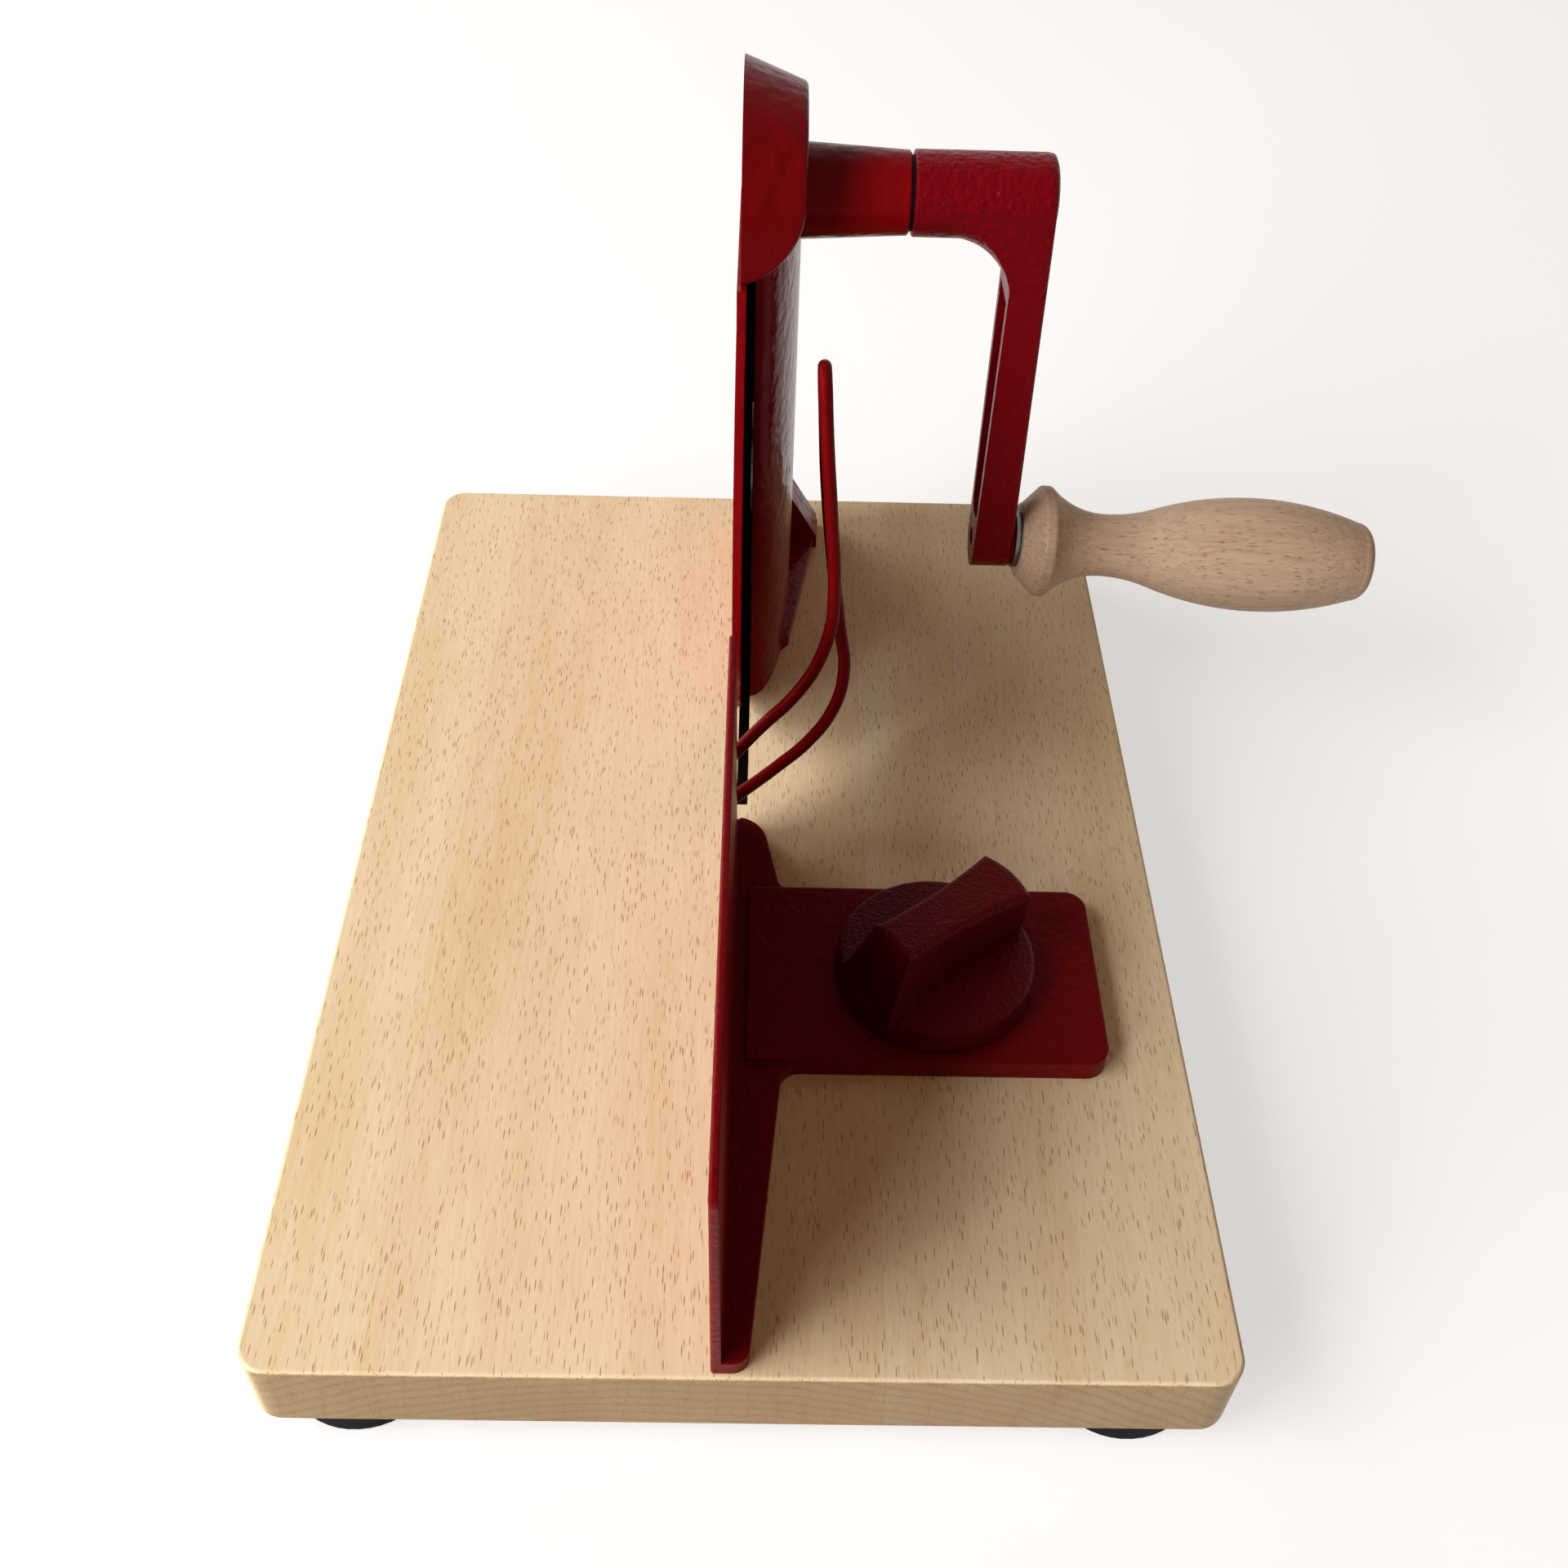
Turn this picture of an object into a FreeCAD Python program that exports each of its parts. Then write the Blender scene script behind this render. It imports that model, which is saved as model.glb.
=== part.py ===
import FreeCAD, Part
import math
import os
import Sketcher

os.makedirs("parts", exist_ok=True)

V = FreeCAD.Vector
doc = FreeCAD.newDocument("meat_slicer")

# Driving dimensions, millimetres. X runs to the crank side, Y away from the user, Z up.
# The origin is on the table under the middle of the whole machine.
SIZES = {
    # Beech board on four rubber feet
    "board_mid_x": -40,
    "board_width": 240,
    "board_depth": 350,
    "board_thick": 25,
    "board_corner": 8,
    "board_edge": 1.2,
    "foot_high": 7,
    "foot_rad": 21,
    "foot_inset_x": 24,
    "foot_inset_y": 21.5,
    "foot_recess_rad": 5,
    "foot_recess_deep": 3.4,
    "foot_screw_rad": 2,
    "foot_screw_long": 15,
    "groove_front_y": 12,
    "groove_rear_y": 125,
    "groove_deep": 12,
    # Guide plane, blade cover and blade
    "guide_x": -47.2,
    "cover_thick": 2.6,
    "cover_front_y": 51,
    "cover_front_rad": 77,
    "cover_arc_rad": 81.4,
    "cover_window_rad": 23,
    "cover_lobe_rad": 29,
    "cover_lobe_left": -46.2,
    "slot_rad": 82,
    "blade_rad": 80,
    "blade_thick": 1.5,
    "blade_gap": 0.2,
    "blade_bevel": 6,
    "blade_bore_rad": 8,
    "blade_screw_ring": 13,
    "axis_y": 87.5,
    "blade_z": 108.5,
    # Cast frame
    "column_left": -42.3,
    "column_right": -29.5,
    "column_nose_y": 62.6,
    "column_round_y": 103,
    "column_foot_round_y": 122,
    "column_rear_y": 134,
    "column_foot_rear_y": 159,
    "column_taper_z": 87,
    "head_left": -46.2,
    "head_right": -29.1,
    "head_rad": 34.2,
    "head_under_z": 186.6,
    "head_round_z": 206.4,
    "head_taper": 21,
    "head_edge": 1.6,
    "boss_root_rad": 13,
    "boss_end_rad": 11.2,
    "boss_end_x": -0.5,
    "flange_high": 4.5,
    "flange_front_x": -29.4,
    "flange_front_y": 89,
    "flange_right": -18.6,
    "block_front_y": 149,
    "block_high": 18,
    "brace_front_y": 145,
    "frame_screw_rad": 3,
    "frame_screw_deep": 16,
    # Gear train
    "tooth_module": 1.5,
    "blade_teeth": 16,
    "lower_teeth": 20,
    "upper_teeth": 22,
    "crank_teeth": 20,
    "crank_above_blade": 89,
    "gear_left": -39.3,
    "gear_wide": 4,
    "cavity_floor": -34.8,
    "lid_left": -40.8,
    "lid_thick": 1.2,
    "lid_ledge": 4,
    "pin_rad": 4,
    "pin_floor": -31.1,
    "hub_flange_rad": 18,
    "hub_flange_thick": 1.6,
    "hub_sleeve_rad": 7,
    "bush_rad": 5.5,
    "fit": 0.05,
    # Crank and handle
    "shaft_rad": 6,
    "crank_bush_rad": 8,
    "inner_bush_long": 11.8,
    "outer_bush_long": 12.5,
    "crank_hub_rad": 11.5,
    "crank_hub_left": 0.4,
    "crank_hub_right": 39.6,
    "crank_throw": 116.8,
    "crank_arm_left": 28.9,
    "crank_arm_right_top": 39,
    "crank_arm_right_low": 41.5,
    "crank_arm_wide_top": 22.6,
    "crank_end_rad": 8.7,
    "crank_blend": 16,
    "crank_blend_reach": 20,
    "crank_wall": 3,
    "crank_recess": 6,
    "grip_droop": 3.1,
    "grip_start": 2.5,
    "grip_end": 118.29,
    "sleeve_rad": 4.5,
    "grip_bolt_rad": 3,
    # Stop plate, its arm, its slice guard and its knob
    "plate_left": -47.7,
    "plate_thick": 2.6,
    "plate_top_thick": 2.1,
    "plate_high": 79.5,
    "plate_front_y": -173.5,
    "plate_rear_y": 0,
    "plate_gap": 0.1,
    "plate_flange_high": 5,
    "arm_high": 7,
    "arm_front_y": -89,
    "arm_rear_y": -28,
    "arm_right_x": 57.5,
    "arm_corner": 6,
    "travel": 20,
    "stud_x": 11.5,
    "stud_y": -58.5,
    "stud_rad": 4,
    "stud_head_rad": 7.5,
    "stud_head_high": 5.3,
    "guide_pin_rad": 2.5,
    "guide_pin_x": -10,
    "guide_pin_front": -78,
    "guide_pin_rear": -38,
    "guard_rod_rad": 1.9,
    "knob_rad": 28,
    "knob_disc_high": 8,
    "knob_high": 25.7,
    "knob_bar_angle": 37,
    "knob_bar_tip": 26,
    "knob_bar_tail": 17,
}

sheet = doc.addObject("Spreadsheet::Sheet", "Sizes")
for row, (alias, value) in enumerate(SIZES.items(), start=1):
    sheet.set(f"A{row}", alias)
    sheet.set(f"B{row}", str(value))
    sheet.setAlias(f"B{row}", alias)
doc.recompute()


def size(alias):
    """Value of a cell of the sheet, in millimetres, degrees or teeth."""
    return float(getattr(sheet, alias))


FIT = size("fit")
MODULE = size("tooth_module")
GUIDE = size("guide_x")
AXIS_Y = size("axis_y")
BOARD_TOP = size("foot_high") + size("board_thick")
BLADE_Z = size("blade_z")
CRANK_Z = BLADE_Z + size("crank_above_blade")
COVER_RIGHT = GUIDE + size("cover_thick")
BLADE_LEFT = COVER_RIGHT + size("blade_gap")
BLADE_RIGHT = BLADE_LEFT + size("blade_thick")
GEAR_RIGHT = size("gear_left") + size("gear_wide")
LID_RIGHT = size("lid_left") + size("lid_thick")
GRIP_Z = CRANK_Z - size("crank_throw")
PLATE_LOW = BOARD_TOP + size("plate_gap")

# Two idlers, one above the other, a little behind the line from blade to crank
to_blade = MODULE * (size("blade_teeth") + size("lower_teeth")) / 2
between = MODULE * (size("lower_teeth") + size("upper_teeth")) / 2
to_crank = MODULE * (size("upper_teeth") + size("crank_teeth")) / 2
span = size("crank_above_blade") - between
rise = (to_blade ** 2 - to_crank ** 2 + span ** 2) / (2 * span)
IDLER_Y = AXIS_Y + math.sqrt(to_blade ** 2 - rise ** 2)
LOWER_Z = BLADE_Z + rise
UPPER_Z = LOWER_Z + between


def room(cell):
    """Radius of the pocket that a gear turns in."""
    return MODULE * size(cell) / 2 + 0.92 * MODULE + 1


ROOMS = [
    ("Crank", AXIS_Y, CRANK_Z, room("crank_teeth"), room("crank_teeth") + size("lid_ledge")),
    ("Upper", IDLER_Y, UPPER_Z, room("upper_teeth"), room("upper_teeth") + size("lid_ledge")),
    ("Lower", IDLER_Y, LOWER_Z, room("lower_teeth"), room("lower_teeth") + size("lid_ledge")),
    ("Blade", AXIS_Y, BLADE_Z, room("blade_teeth"), size("hub_flange_rad") + 2.4),
]

nodes = []


# Drawing helpers
def bind(obj, **cells):
    """Bind properties of an object to expressions on the sheet."""
    for name, text in cells.items():
        obj.setExpression(name.replace("__", "."), text)


def keep(obj, label):
    """Name a finished piece after its file."""
    obj.Label = label
    nodes.append(obj)


def new_body(name):
    return doc.addObject("PartDesign::Body", name)


def sketch_on(body, role, name, at=(0, 0, 0)):
    """Empty sketch on an origin plane of its body, moved by its own offset."""
    plane = next(f for f in body.Origin.OriginFeatures if f.Role == role)
    sketch = body.newObject("Sketcher::SketchObject", name)
    sketch.AttachmentSupport = [(plane, "")]
    sketch.MapMode = "FlatFace"
    sketch.AttachmentOffset = FreeCAD.Placement(V(*at), FreeCAD.Rotation())
    return sketch


def draw(sketch, start, *steps):
    """Closed outline of lines (a point) and arcs (a point on the arc, then its end)."""
    here = V(start[0], start[1], 0)
    for step in steps + (start,):
        if isinstance(step[0], (tuple, list)):
            via = V(step[0][0], step[0][1], 0)
            there = V(step[1][0], step[1][1], 0)
            sketch.addGeometry(Part.Arc(here, via, there), False)
        else:
            there = V(step[0], step[1], 0)
            if there.distanceToPoint(here) > 1e-6:
                sketch.addGeometry(Part.LineSegment(here, there), False)
        here = there


def ring(sketch, x, y, radius, text=None):
    """Circle of a sketch, its radius bound to the sheet when an expression is given."""
    index = sketch.addGeometry(Part.Circle(V(x, y, 0), V(0, 0, 1), radius), False)
    if text:
        spot = sketch.addConstraint(Sketcher.Constraint("Radius", index, radius))
        sketch.setExpression(f"Constraints[{spot}]", text)


def nosed(sketch, nose, left, right, centre_y, rear):
    """Plan with a flat left side and a nose of a quarter ellipse to the front."""
    centre = V(left, centre_y, 0)
    curve = Part.Ellipse(V(left, nose, 0), V(right, centre_y, 0), centre)
    sketch.addGeometry(Part.ArcOfEllipse(curve, 0, math.pi / 2), False)
    for one, two in (
        ((right, centre_y), (right, rear)),
        ((right, rear), (left, rear)),
        ((left, rear), (left, nose)),
    ):
        sketch.addGeometry(Part.LineSegment(V(*one, 0), V(*two, 0)), False)


def pad(body, name, sketch, length, text=None, taper=0.0, middle=False):
    """Pad along the sketch's normal."""
    feature = body.newObject("PartDesign::Pad", name)
    feature.Profile = sketch
    feature.Length = length
    feature.TaperAngle = -taper
    feature.Midplane = middle
    if text:
        feature.setExpression("Length", text)
    doc.recompute()
    check(feature)


def pocket(body, name, sketch, length, along=True):
    """Pocket along the sketch's normal, or against it, that takes material away."""
    before = body.Shape.Volume
    feature = body.newObject("PartDesign::Pocket", name)
    feature.Profile = sketch
    feature.Length = length
    feature.Reversed = along
    doc.recompute()
    check(feature)
    if body.Shape.Volume > before - 0.5:
        raise ValueError(f"{name} took nothing away")


def check(feature):
    """Stop at the first feature that isn't sound."""
    if "Invalid" in feature.State or feature.Shape.isNull() or not feature.Shape.isValid():
        raise ValueError(f"{feature.Name} is not sound")


def spin(body, name, sketch, axis):
    """Full revolution about an axis of the sketch."""
    feature = body.newObject("PartDesign::Revolution", name)
    feature.Profile = sketch
    feature.ReferenceAxis = (sketch, [axis])
    feature.Angle = 360
    doc.recompute()
    check(feature)


def hole(body, name, role, at, spots, radius, length, along=True):
    """Round pockets of one radius at several places of one plane."""
    sketch = sketch_on(body, role, name + "Sketch", at)
    for x, y in spots:
        ring(sketch, x, y, radius)
    pocket(body, name, sketch, length, along)


def soften(body, name, radius, chosen):
    """Round the edges of a body that a test picks by their box."""
    base = body.Tip
    names = []
    for index, edge in enumerate(base.Shape.Edges, start=1):
        if chosen(edge.BoundBox):
            names.append(f"Edge{index}")
    if not names:
        raise ValueError(f"{name} finds no edge")
    feature = body.newObject("PartDesign::Fillet", name)
    feature.Base = (base, names)
    feature.Radius = radius
    doc.recompute()
    check(feature)


def rod_x(name, radius, left, right, y, z, text=None):
    """Round bar along X."""
    bar = doc.addObject("Part::Cylinder", name)
    bar.Radius = radius
    bar.Height = right - left
    bar.Placement = FreeCAD.Placement(V(left, y, z), FreeCAD.Rotation(V(0, 1, 0), 90))
    if text:
        bind(bar, Radius=text)
    return bar


def rod_z(name, radius, low, high, x, y, text=None):
    """Round bar along Z."""
    bar = doc.addObject("Part::Cylinder", name)
    bar.Radius = radius
    bar.Height = high - low
    bar.Placement = FreeCAD.Placement(V(x, y, low), FreeCAD.Rotation())
    if text:
        bind(bar, Radius=text)
    return bar


def joined(name, base, tool):
    """One solid from two that overlap."""
    result = doc.addObject("Part::Fuse", name)
    result.Base = base
    result.Tool = tool
    result.Refine = True
    return result


def without(name, base, tool):
    """A solid with another cut out of it."""
    result = doc.addObject("Part::Cut", name)
    result.Base = base
    result.Tool = tool
    result.Refine = True
    return result


def shaped(name, shape):
    """A piece whose shape is worked out from the sheet's values."""
    result = doc.addObject("Part::Feature", name)
    result.Shape = shape
    return result


def countersunk(head_x, tip_x, y, z, radius, head):
    """Countersunk screw along X with a slotted head at its left end."""
    sink = head - radius
    cone = Part.makeCone(head, radius, sink, V(head_x, y, z), V(1, 0, 0))
    shank = Part.makeCylinder(radius, tip_x - head_x, V(head_x, y, z), V(1, 0, 0))
    slot = Part.makeBox(0.5 * sink, 3 * head, 0.3 * head,
                        V(head_x, y - 1.5 * head, z - 0.15 * head))
    return cone.fuse(shank).cut(slot).removeSplitter()


def sink(head_x, y, z, radius, head):
    """Countersink, a little wider than the head it takes."""
    return Part.makeCone(head + 0.15, radius + 0.15, head - radius, V(head_x, y, z),
                         V(1, 0, 0))


def around(y, z, radius, turns):
    """Places on a circle, turned from straight up towards the rear."""
    spots = []
    for turn in turns:
        angle = math.radians(turn)
        spots.append((y + radius * math.sin(angle), z + radius * math.cos(angle)))
    return spots


# Places of the repeated fasteners
foot_spots = []
for side in (-1, 1):
    for end in (-1, 1):
        foot_x = side * (size("board_width") / 2 - size("foot_inset_x"))
        foot_y = end * (size("board_depth") / 2 - size("foot_inset_y"))
        foot_spots.append((size("board_mid_x") + foot_x, foot_y))
frame_screw_spots = [(-37.4, 92), (-34, 143)]
cover_screw_spots = around(AXIS_Y, CRANK_Z, 24.9, (-45, 45)) + [(154, 41)]
lid_screw_spots = around(AXIS_Y, CRANK_Z, 19.4, (0,)) + around(IDLER_Y, UPPER_Z, 20.9, (90,))
lid_screw_spots += around(IDLER_Y, LOWER_Z, 19.4, (100, 270))
blade_screw_spots = around(AXIS_Y, BLADE_Z, size("blade_screw_ring"), (45, 135, 225, 315))
guide_pin_spots = [
    (size("guide_pin_x"), size("guide_pin_front")),
    (size("guide_pin_x"), size("guide_pin_rear")),
]


# Beech board and feet
def make_board():
    body = new_body("Board")
    left = size("board_mid_x") - size("board_width") / 2
    right = size("board_mid_x") + size("board_width") / 2
    half = size("board_depth") / 2
    sketch = sketch_on(body, "XY_Plane", "BoardOutline", (0, 0, size("foot_high")))
    draw(sketch, (left, -half), (right, -half), (right, half), (left, half))
    bind(sketch, AttachmentOffset__Base__z="Sizes.foot_high")
    pad(body, "BoardBlock", sketch, size("board_thick"), "Sizes.board_thick")
    soften(body, "BoardCorners", size("board_corner"),
           lambda b: b.ZLength > 20 and b.XLength < 0.1 and b.YLength < 0.1)
    soften(body, "BoardEdges", size("board_edge"), lambda b: b.ZLength < 0.01)
    # Groove under the rim of the blade
    groove = sketch_on(body, "XY_Plane", "GrooveOutline", (0, 0, BOARD_TOP))
    draw(groove, (-45.6, size("groove_front_y")), (-42.2, size("groove_front_y")),
         (-42.2, size("groove_rear_y")), (-45.6, size("groove_rear_y")))
    pocket(body, "BladeGroove", groove, size("groove_deep"), along=False)
    # Grooves that steer the guide pins of the stop plate
    steer = sketch_on(body, "XY_Plane", "SteerOutline", (0, 0, BOARD_TOP))
    wide = size("guide_pin_rad") + 0.06
    for x, y in guide_pin_spots:
        end = x + size("travel")
        draw(steer, (x, y - wide), (end, y - wide), ((end + wide, y), (end, y + wide)),
             (x, y + wide), ((x - wide, y), (x, y - wide)))
    pocket(body, "SteerGrooves", steer, 5.5, along=False)
    low = (0, 0, size("foot_high"))
    stud = [(size("stud_x"), size("stud_y"))]
    hole(body, "StudHole", "XY_Plane", low, stud, size("stud_rad") + FIT, 40)
    hole(body, "StudSink", "XY_Plane", low, stud, 11.6, 8.4)
    hole(body, "FrameHoles", "XY_Plane", low, frame_screw_spots,
         size("frame_screw_rad") + 0.2, 40)
    hole(body, "FrameSinks", "XY_Plane", low, frame_screw_spots, 7.5, 8)
    hole(body, "FootHoles", "XY_Plane", low, foot_spots, size("foot_screw_rad") + FIT,
         size("foot_screw_long") - 2)
    keep(body, "base_board")


def make_feet():
    """Four rubber feet, each with a sunk screw."""
    high, deep, long = size("foot_high"), size("foot_recess_deep"), size("foot_screw_long")
    shank, head = size("foot_screw_rad"), 4
    feet, screws = [], []
    for x, y in foot_spots:
        foot = Part.makeCylinder(size("foot_rad"), high, V(x, y, 0))
        foot = foot.makeFillet(0.6, [e for e in foot.Edges if e.BoundBox.ZMax < 0.1])
        foot = foot.cut(Part.makeCylinder(size("foot_recess_rad"), deep, V(x, y, 0)))
        feet.append(foot.cut(Part.makeCylinder(shank + 0.1, high, V(x, y, 0))))
        pan = Part.makeCone(head - 0.8, head, deep - 1.4, V(x, y, 1.4))
        core = Part.makeCylinder(shank, long - 2, V(x, y, deep))
        tip = Part.makeCone(shank, 0.6, 2, V(x, y, deep + long - 2))
        slot = Part.makeBox(2 * head, 1, 1, V(x - head, y - 0.5, 1.4))
        screws.append(pan.fuse([core, tip]).cut(slot).removeSplitter())
    keep(shaped("Feet", Part.makeCompound(feet)), "rubber_feet")
    keep(shaped("FootScrews", Part.makeCompound(screws)), "feet_screws")


# Cast frame
def make_frame():
    body = new_body("Frame")
    left, right = size("column_left"), size("column_right")
    head_left, head_right = size("head_left"), size("head_right")
    rad, under = size("head_rad"), size("head_under_z")

    # Head: a drum round the crank axis that narrows towards the crank
    drum = sketch_on(body, "YZ_Plane", "HeadOutline", (0, 0, head_left))
    draw(drum, (AXIS_Y - rad, under - 14), (AXIS_Y - rad, CRANK_Z),
         ((AXIS_Y, CRANK_Z + rad), (AXIS_Y + rad, CRANK_Z)), (AXIS_Y + rad, under - 14))
    pad(body, "HeadDrum", drum, head_right - head_left, taper=size("head_taper"))
    # Its front ends below in a round corner that rises towards the crank
    round_z = size("head_round_z")
    corner = sketch_on(body, "XZ_Plane", "HeadCorner", (0, 0, -180))
    curve = Part.Ellipse(V(head_left, under, 0), V(head_right, round_z, 0),
                         V(head_left, round_z, 0))
    corner.addGeometry(Part.ArcOfEllipse(curve, 0, math.pi / 2), False)
    spots = [(head_right, round_z), (0, round_z), (0, 150), (-90, 150), (-90, under),
             (head_left, under)]
    for one, two in zip(spots, spots[1:]):
        corner.addGeometry(Part.LineSegment(V(*one, 0), V(*two, 0)), False)
    pocket(body, "HeadCornerCut", corner, 180)
    edge = size("head_edge")
    soften(body, "HeadRim", edge,
           lambda b: b.XMin > head_right - 0.01 or (b.YMax < 66 and b.ZMax < round_z + 1
                                                    and b.XLength > 8))

    # Column, on a slimmer foot
    taper_z = size("column_taper_z")
    upper = sketch_on(body, "XY_Plane", "ColumnPlan", (0, 0, taper_z))
    nosed(upper, size("column_nose_y"), left, right, size("column_round_y"),
          size("column_rear_y"))
    pad(body, "Column", upper, round_z - taper_z)
    low = sketch_on(body, "XY_Plane", "ColumnFootPlan", (0, 0, BOARD_TOP))
    nosed(low, size("column_nose_y"), left, right, size("column_foot_round_y"),
          size("column_foot_rear_y"))
    high = sketch_on(body, "XY_Plane", "ColumnTaperPlan", (0, 0, taper_z))
    nosed(high, size("column_nose_y"), left, right, size("column_round_y"),
          size("column_rear_y"))
    doc.recompute()
    loft = body.newObject("PartDesign::AdditiveLoft", "ColumnTaper")
    loft.Profile = low
    loft.Sections = [high]
    doc.recompute()
    check(loft)
    # Its rear slopes up into the head
    rear = size("column_rear_y")
    slope = sketch_on(body, "YZ_Plane", "ColumnSlope", (0, 0, GUIDE - 5))
    draw(slope, (rear + 1, 164), (rear + 1, 230), (AXIS_Y + 16, 230), (AXIS_Y + 16, round_z))
    pocket(body, "ColumnSlopeCut", slope, 60)

    # Foot flange, rear block and brace
    flange = sketch_on(body, "XY_Plane", "FlangePlan", (0, 0, BOARD_TOP))
    edge, back = size("flange_right"), size("column_foot_rear_y")
    draw(flange, (left, 80), (-36, 82), (size("flange_front_x"), size("flange_front_y")),
         (edge, back - 4), ((edge - 1.2, back - 1.2), (edge - 4, back)), (left, back))
    pad(body, "Flange", flange, size("flange_high"), "Sizes.flange_high")
    block = sketch_on(body, "XY_Plane", "BlockPlan", (0, 0, BOARD_TOP))
    draw(block, (COVER_RIGHT, size("block_front_y")), (right, size("block_front_y")),
         (right, back), (COVER_RIGHT, back))
    pad(body, "RearBlock", block, size("block_high"), "Sizes.block_high")
    brace = sketch_on(body, "XZ_Plane", "BraceOutline", (0, 0, -back))
    draw(brace, (right - 2, BOARD_TOP), (edge - 0.5, BOARD_TOP), (edge - 0.5, BOARD_TOP + 5),
         (right, BOARD_TOP + 23), (right - 2, BOARD_TOP + 23))
    pad(body, "Brace", brace, back - size("brace_front_y"))

    # Boss that carries the crank shaft
    boss = sketch_on(body, "XY_Plane", "BossProfile", (0, AXIS_Y, CRANK_Z))
    root, tip, end_x = size("boss_root_rad"), size("boss_end_rad"), size("boss_end_x")
    draw(boss, (right - 5, 0), (right - 5, root), (end_x - 0.5, tip), (end_x, tip - 0.5),
         (end_x, 0))
    spin(body, "Boss", boss, "H_Axis")

    # Room for the blade, the lobe of its cover, the gears and their lid
    slot = sketch_on(body, "YZ_Plane", "BladeSlot", (0, 0, COVER_RIGHT))
    ring(slot, AXIS_Y, BLADE_Z, size("slot_rad"), "Sizes.slot_rad")
    pocket(body, "BladeSlotCut", slot, left - COVER_RIGHT)
    lobe = sketch_on(body, "YZ_Plane", "LobeSeat", (0, 0, GUIDE - 1))
    ring(lobe, AXIS_Y, CRANK_Z, size("cover_lobe_rad") + 0.2)
    pocket(body, "LobeSeatCut", lobe, size("cover_thick") + 1)
    for name, y, z, radius, ledge in ROOMS:
        lid = sketch_on(body, "YZ_Plane", name + "LidSeat", (0, 0, COVER_RIGHT))
        ring(lid, y, z, ledge)
        pocket(body, name + "LidSeatCut", lid, LID_RIGHT - COVER_RIGHT)
        cave = sketch_on(body, "YZ_Plane", name + "Room", (0, 0, COVER_RIGHT))
        ring(cave, y, z, radius)
        pocket(body, name + "RoomCut", cave, size("cavity_floor") - COVER_RIGHT)

    # Bores and screw holes
    floor = (0, 0, size("cavity_floor") - 1)
    hole(body, "ShaftBore", "YZ_Plane", floor, [(AXIS_Y, CRANK_Z)],
         size("crank_bush_rad") + FIT, 60)
    pins = [(AXIS_Y, BLADE_Z), (IDLER_Y, LOWER_Z), (IDLER_Y, UPPER_Z)]
    hole(body, "PinBores", "YZ_Plane", floor, pins, size("pin_rad") + FIT,
         size("pin_floor") - floor[2])
    hole(body, "CoverScrewHoles", "YZ_Plane", (0, 0, COVER_RIGHT - 0.2),
         cover_screw_spots, 2 + FIT, 9.2)
    hole(body, "LidScrewHoles", "YZ_Plane", (0, 0, LID_RIGHT - 0.5), lid_screw_spots,
         1 + FIT, 5)
    hole(body, "BaseScrewHoles", "XY_Plane", (0, 0, BOARD_TOP - 1), frame_screw_spots,
         size("frame_screw_rad") + FIT, size("frame_screw_deep") + 1)
    keep(body, "main_frame")


def make_frame_screws():
    """Bolts that hold the frame down, up through the board from below."""
    screws, washers = [], []
    low, rad = size("foot_high") + 2, size("frame_screw_rad")
    for x, y in frame_screw_spots:
        head = Part.makeCylinder(5, 4.4, V(x, y, low))
        socket = Part.makeCylinder(2.4, 2.6, V(x, y, low))
        shank = Part.makeCylinder(rad, BOARD_TOP + 14 - low - 4.4, V(x, y, low + 4.4))
        screws.append(head.fuse(shank).cut(socket).removeSplitter())
        disc = Part.makeCylinder(7, 1.6, V(x, y, low + 4.4))
        washers.append(disc.cut(Part.makeCylinder(rad + FIT, 4, V(x, y, low + 3))))
    keep(shaped("FrameBolts", Part.makeCompound(screws)), "frame_bolts")
    keep(shaped("FrameWashers", Part.makeCompound(washers)), "frame_washers")


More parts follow.
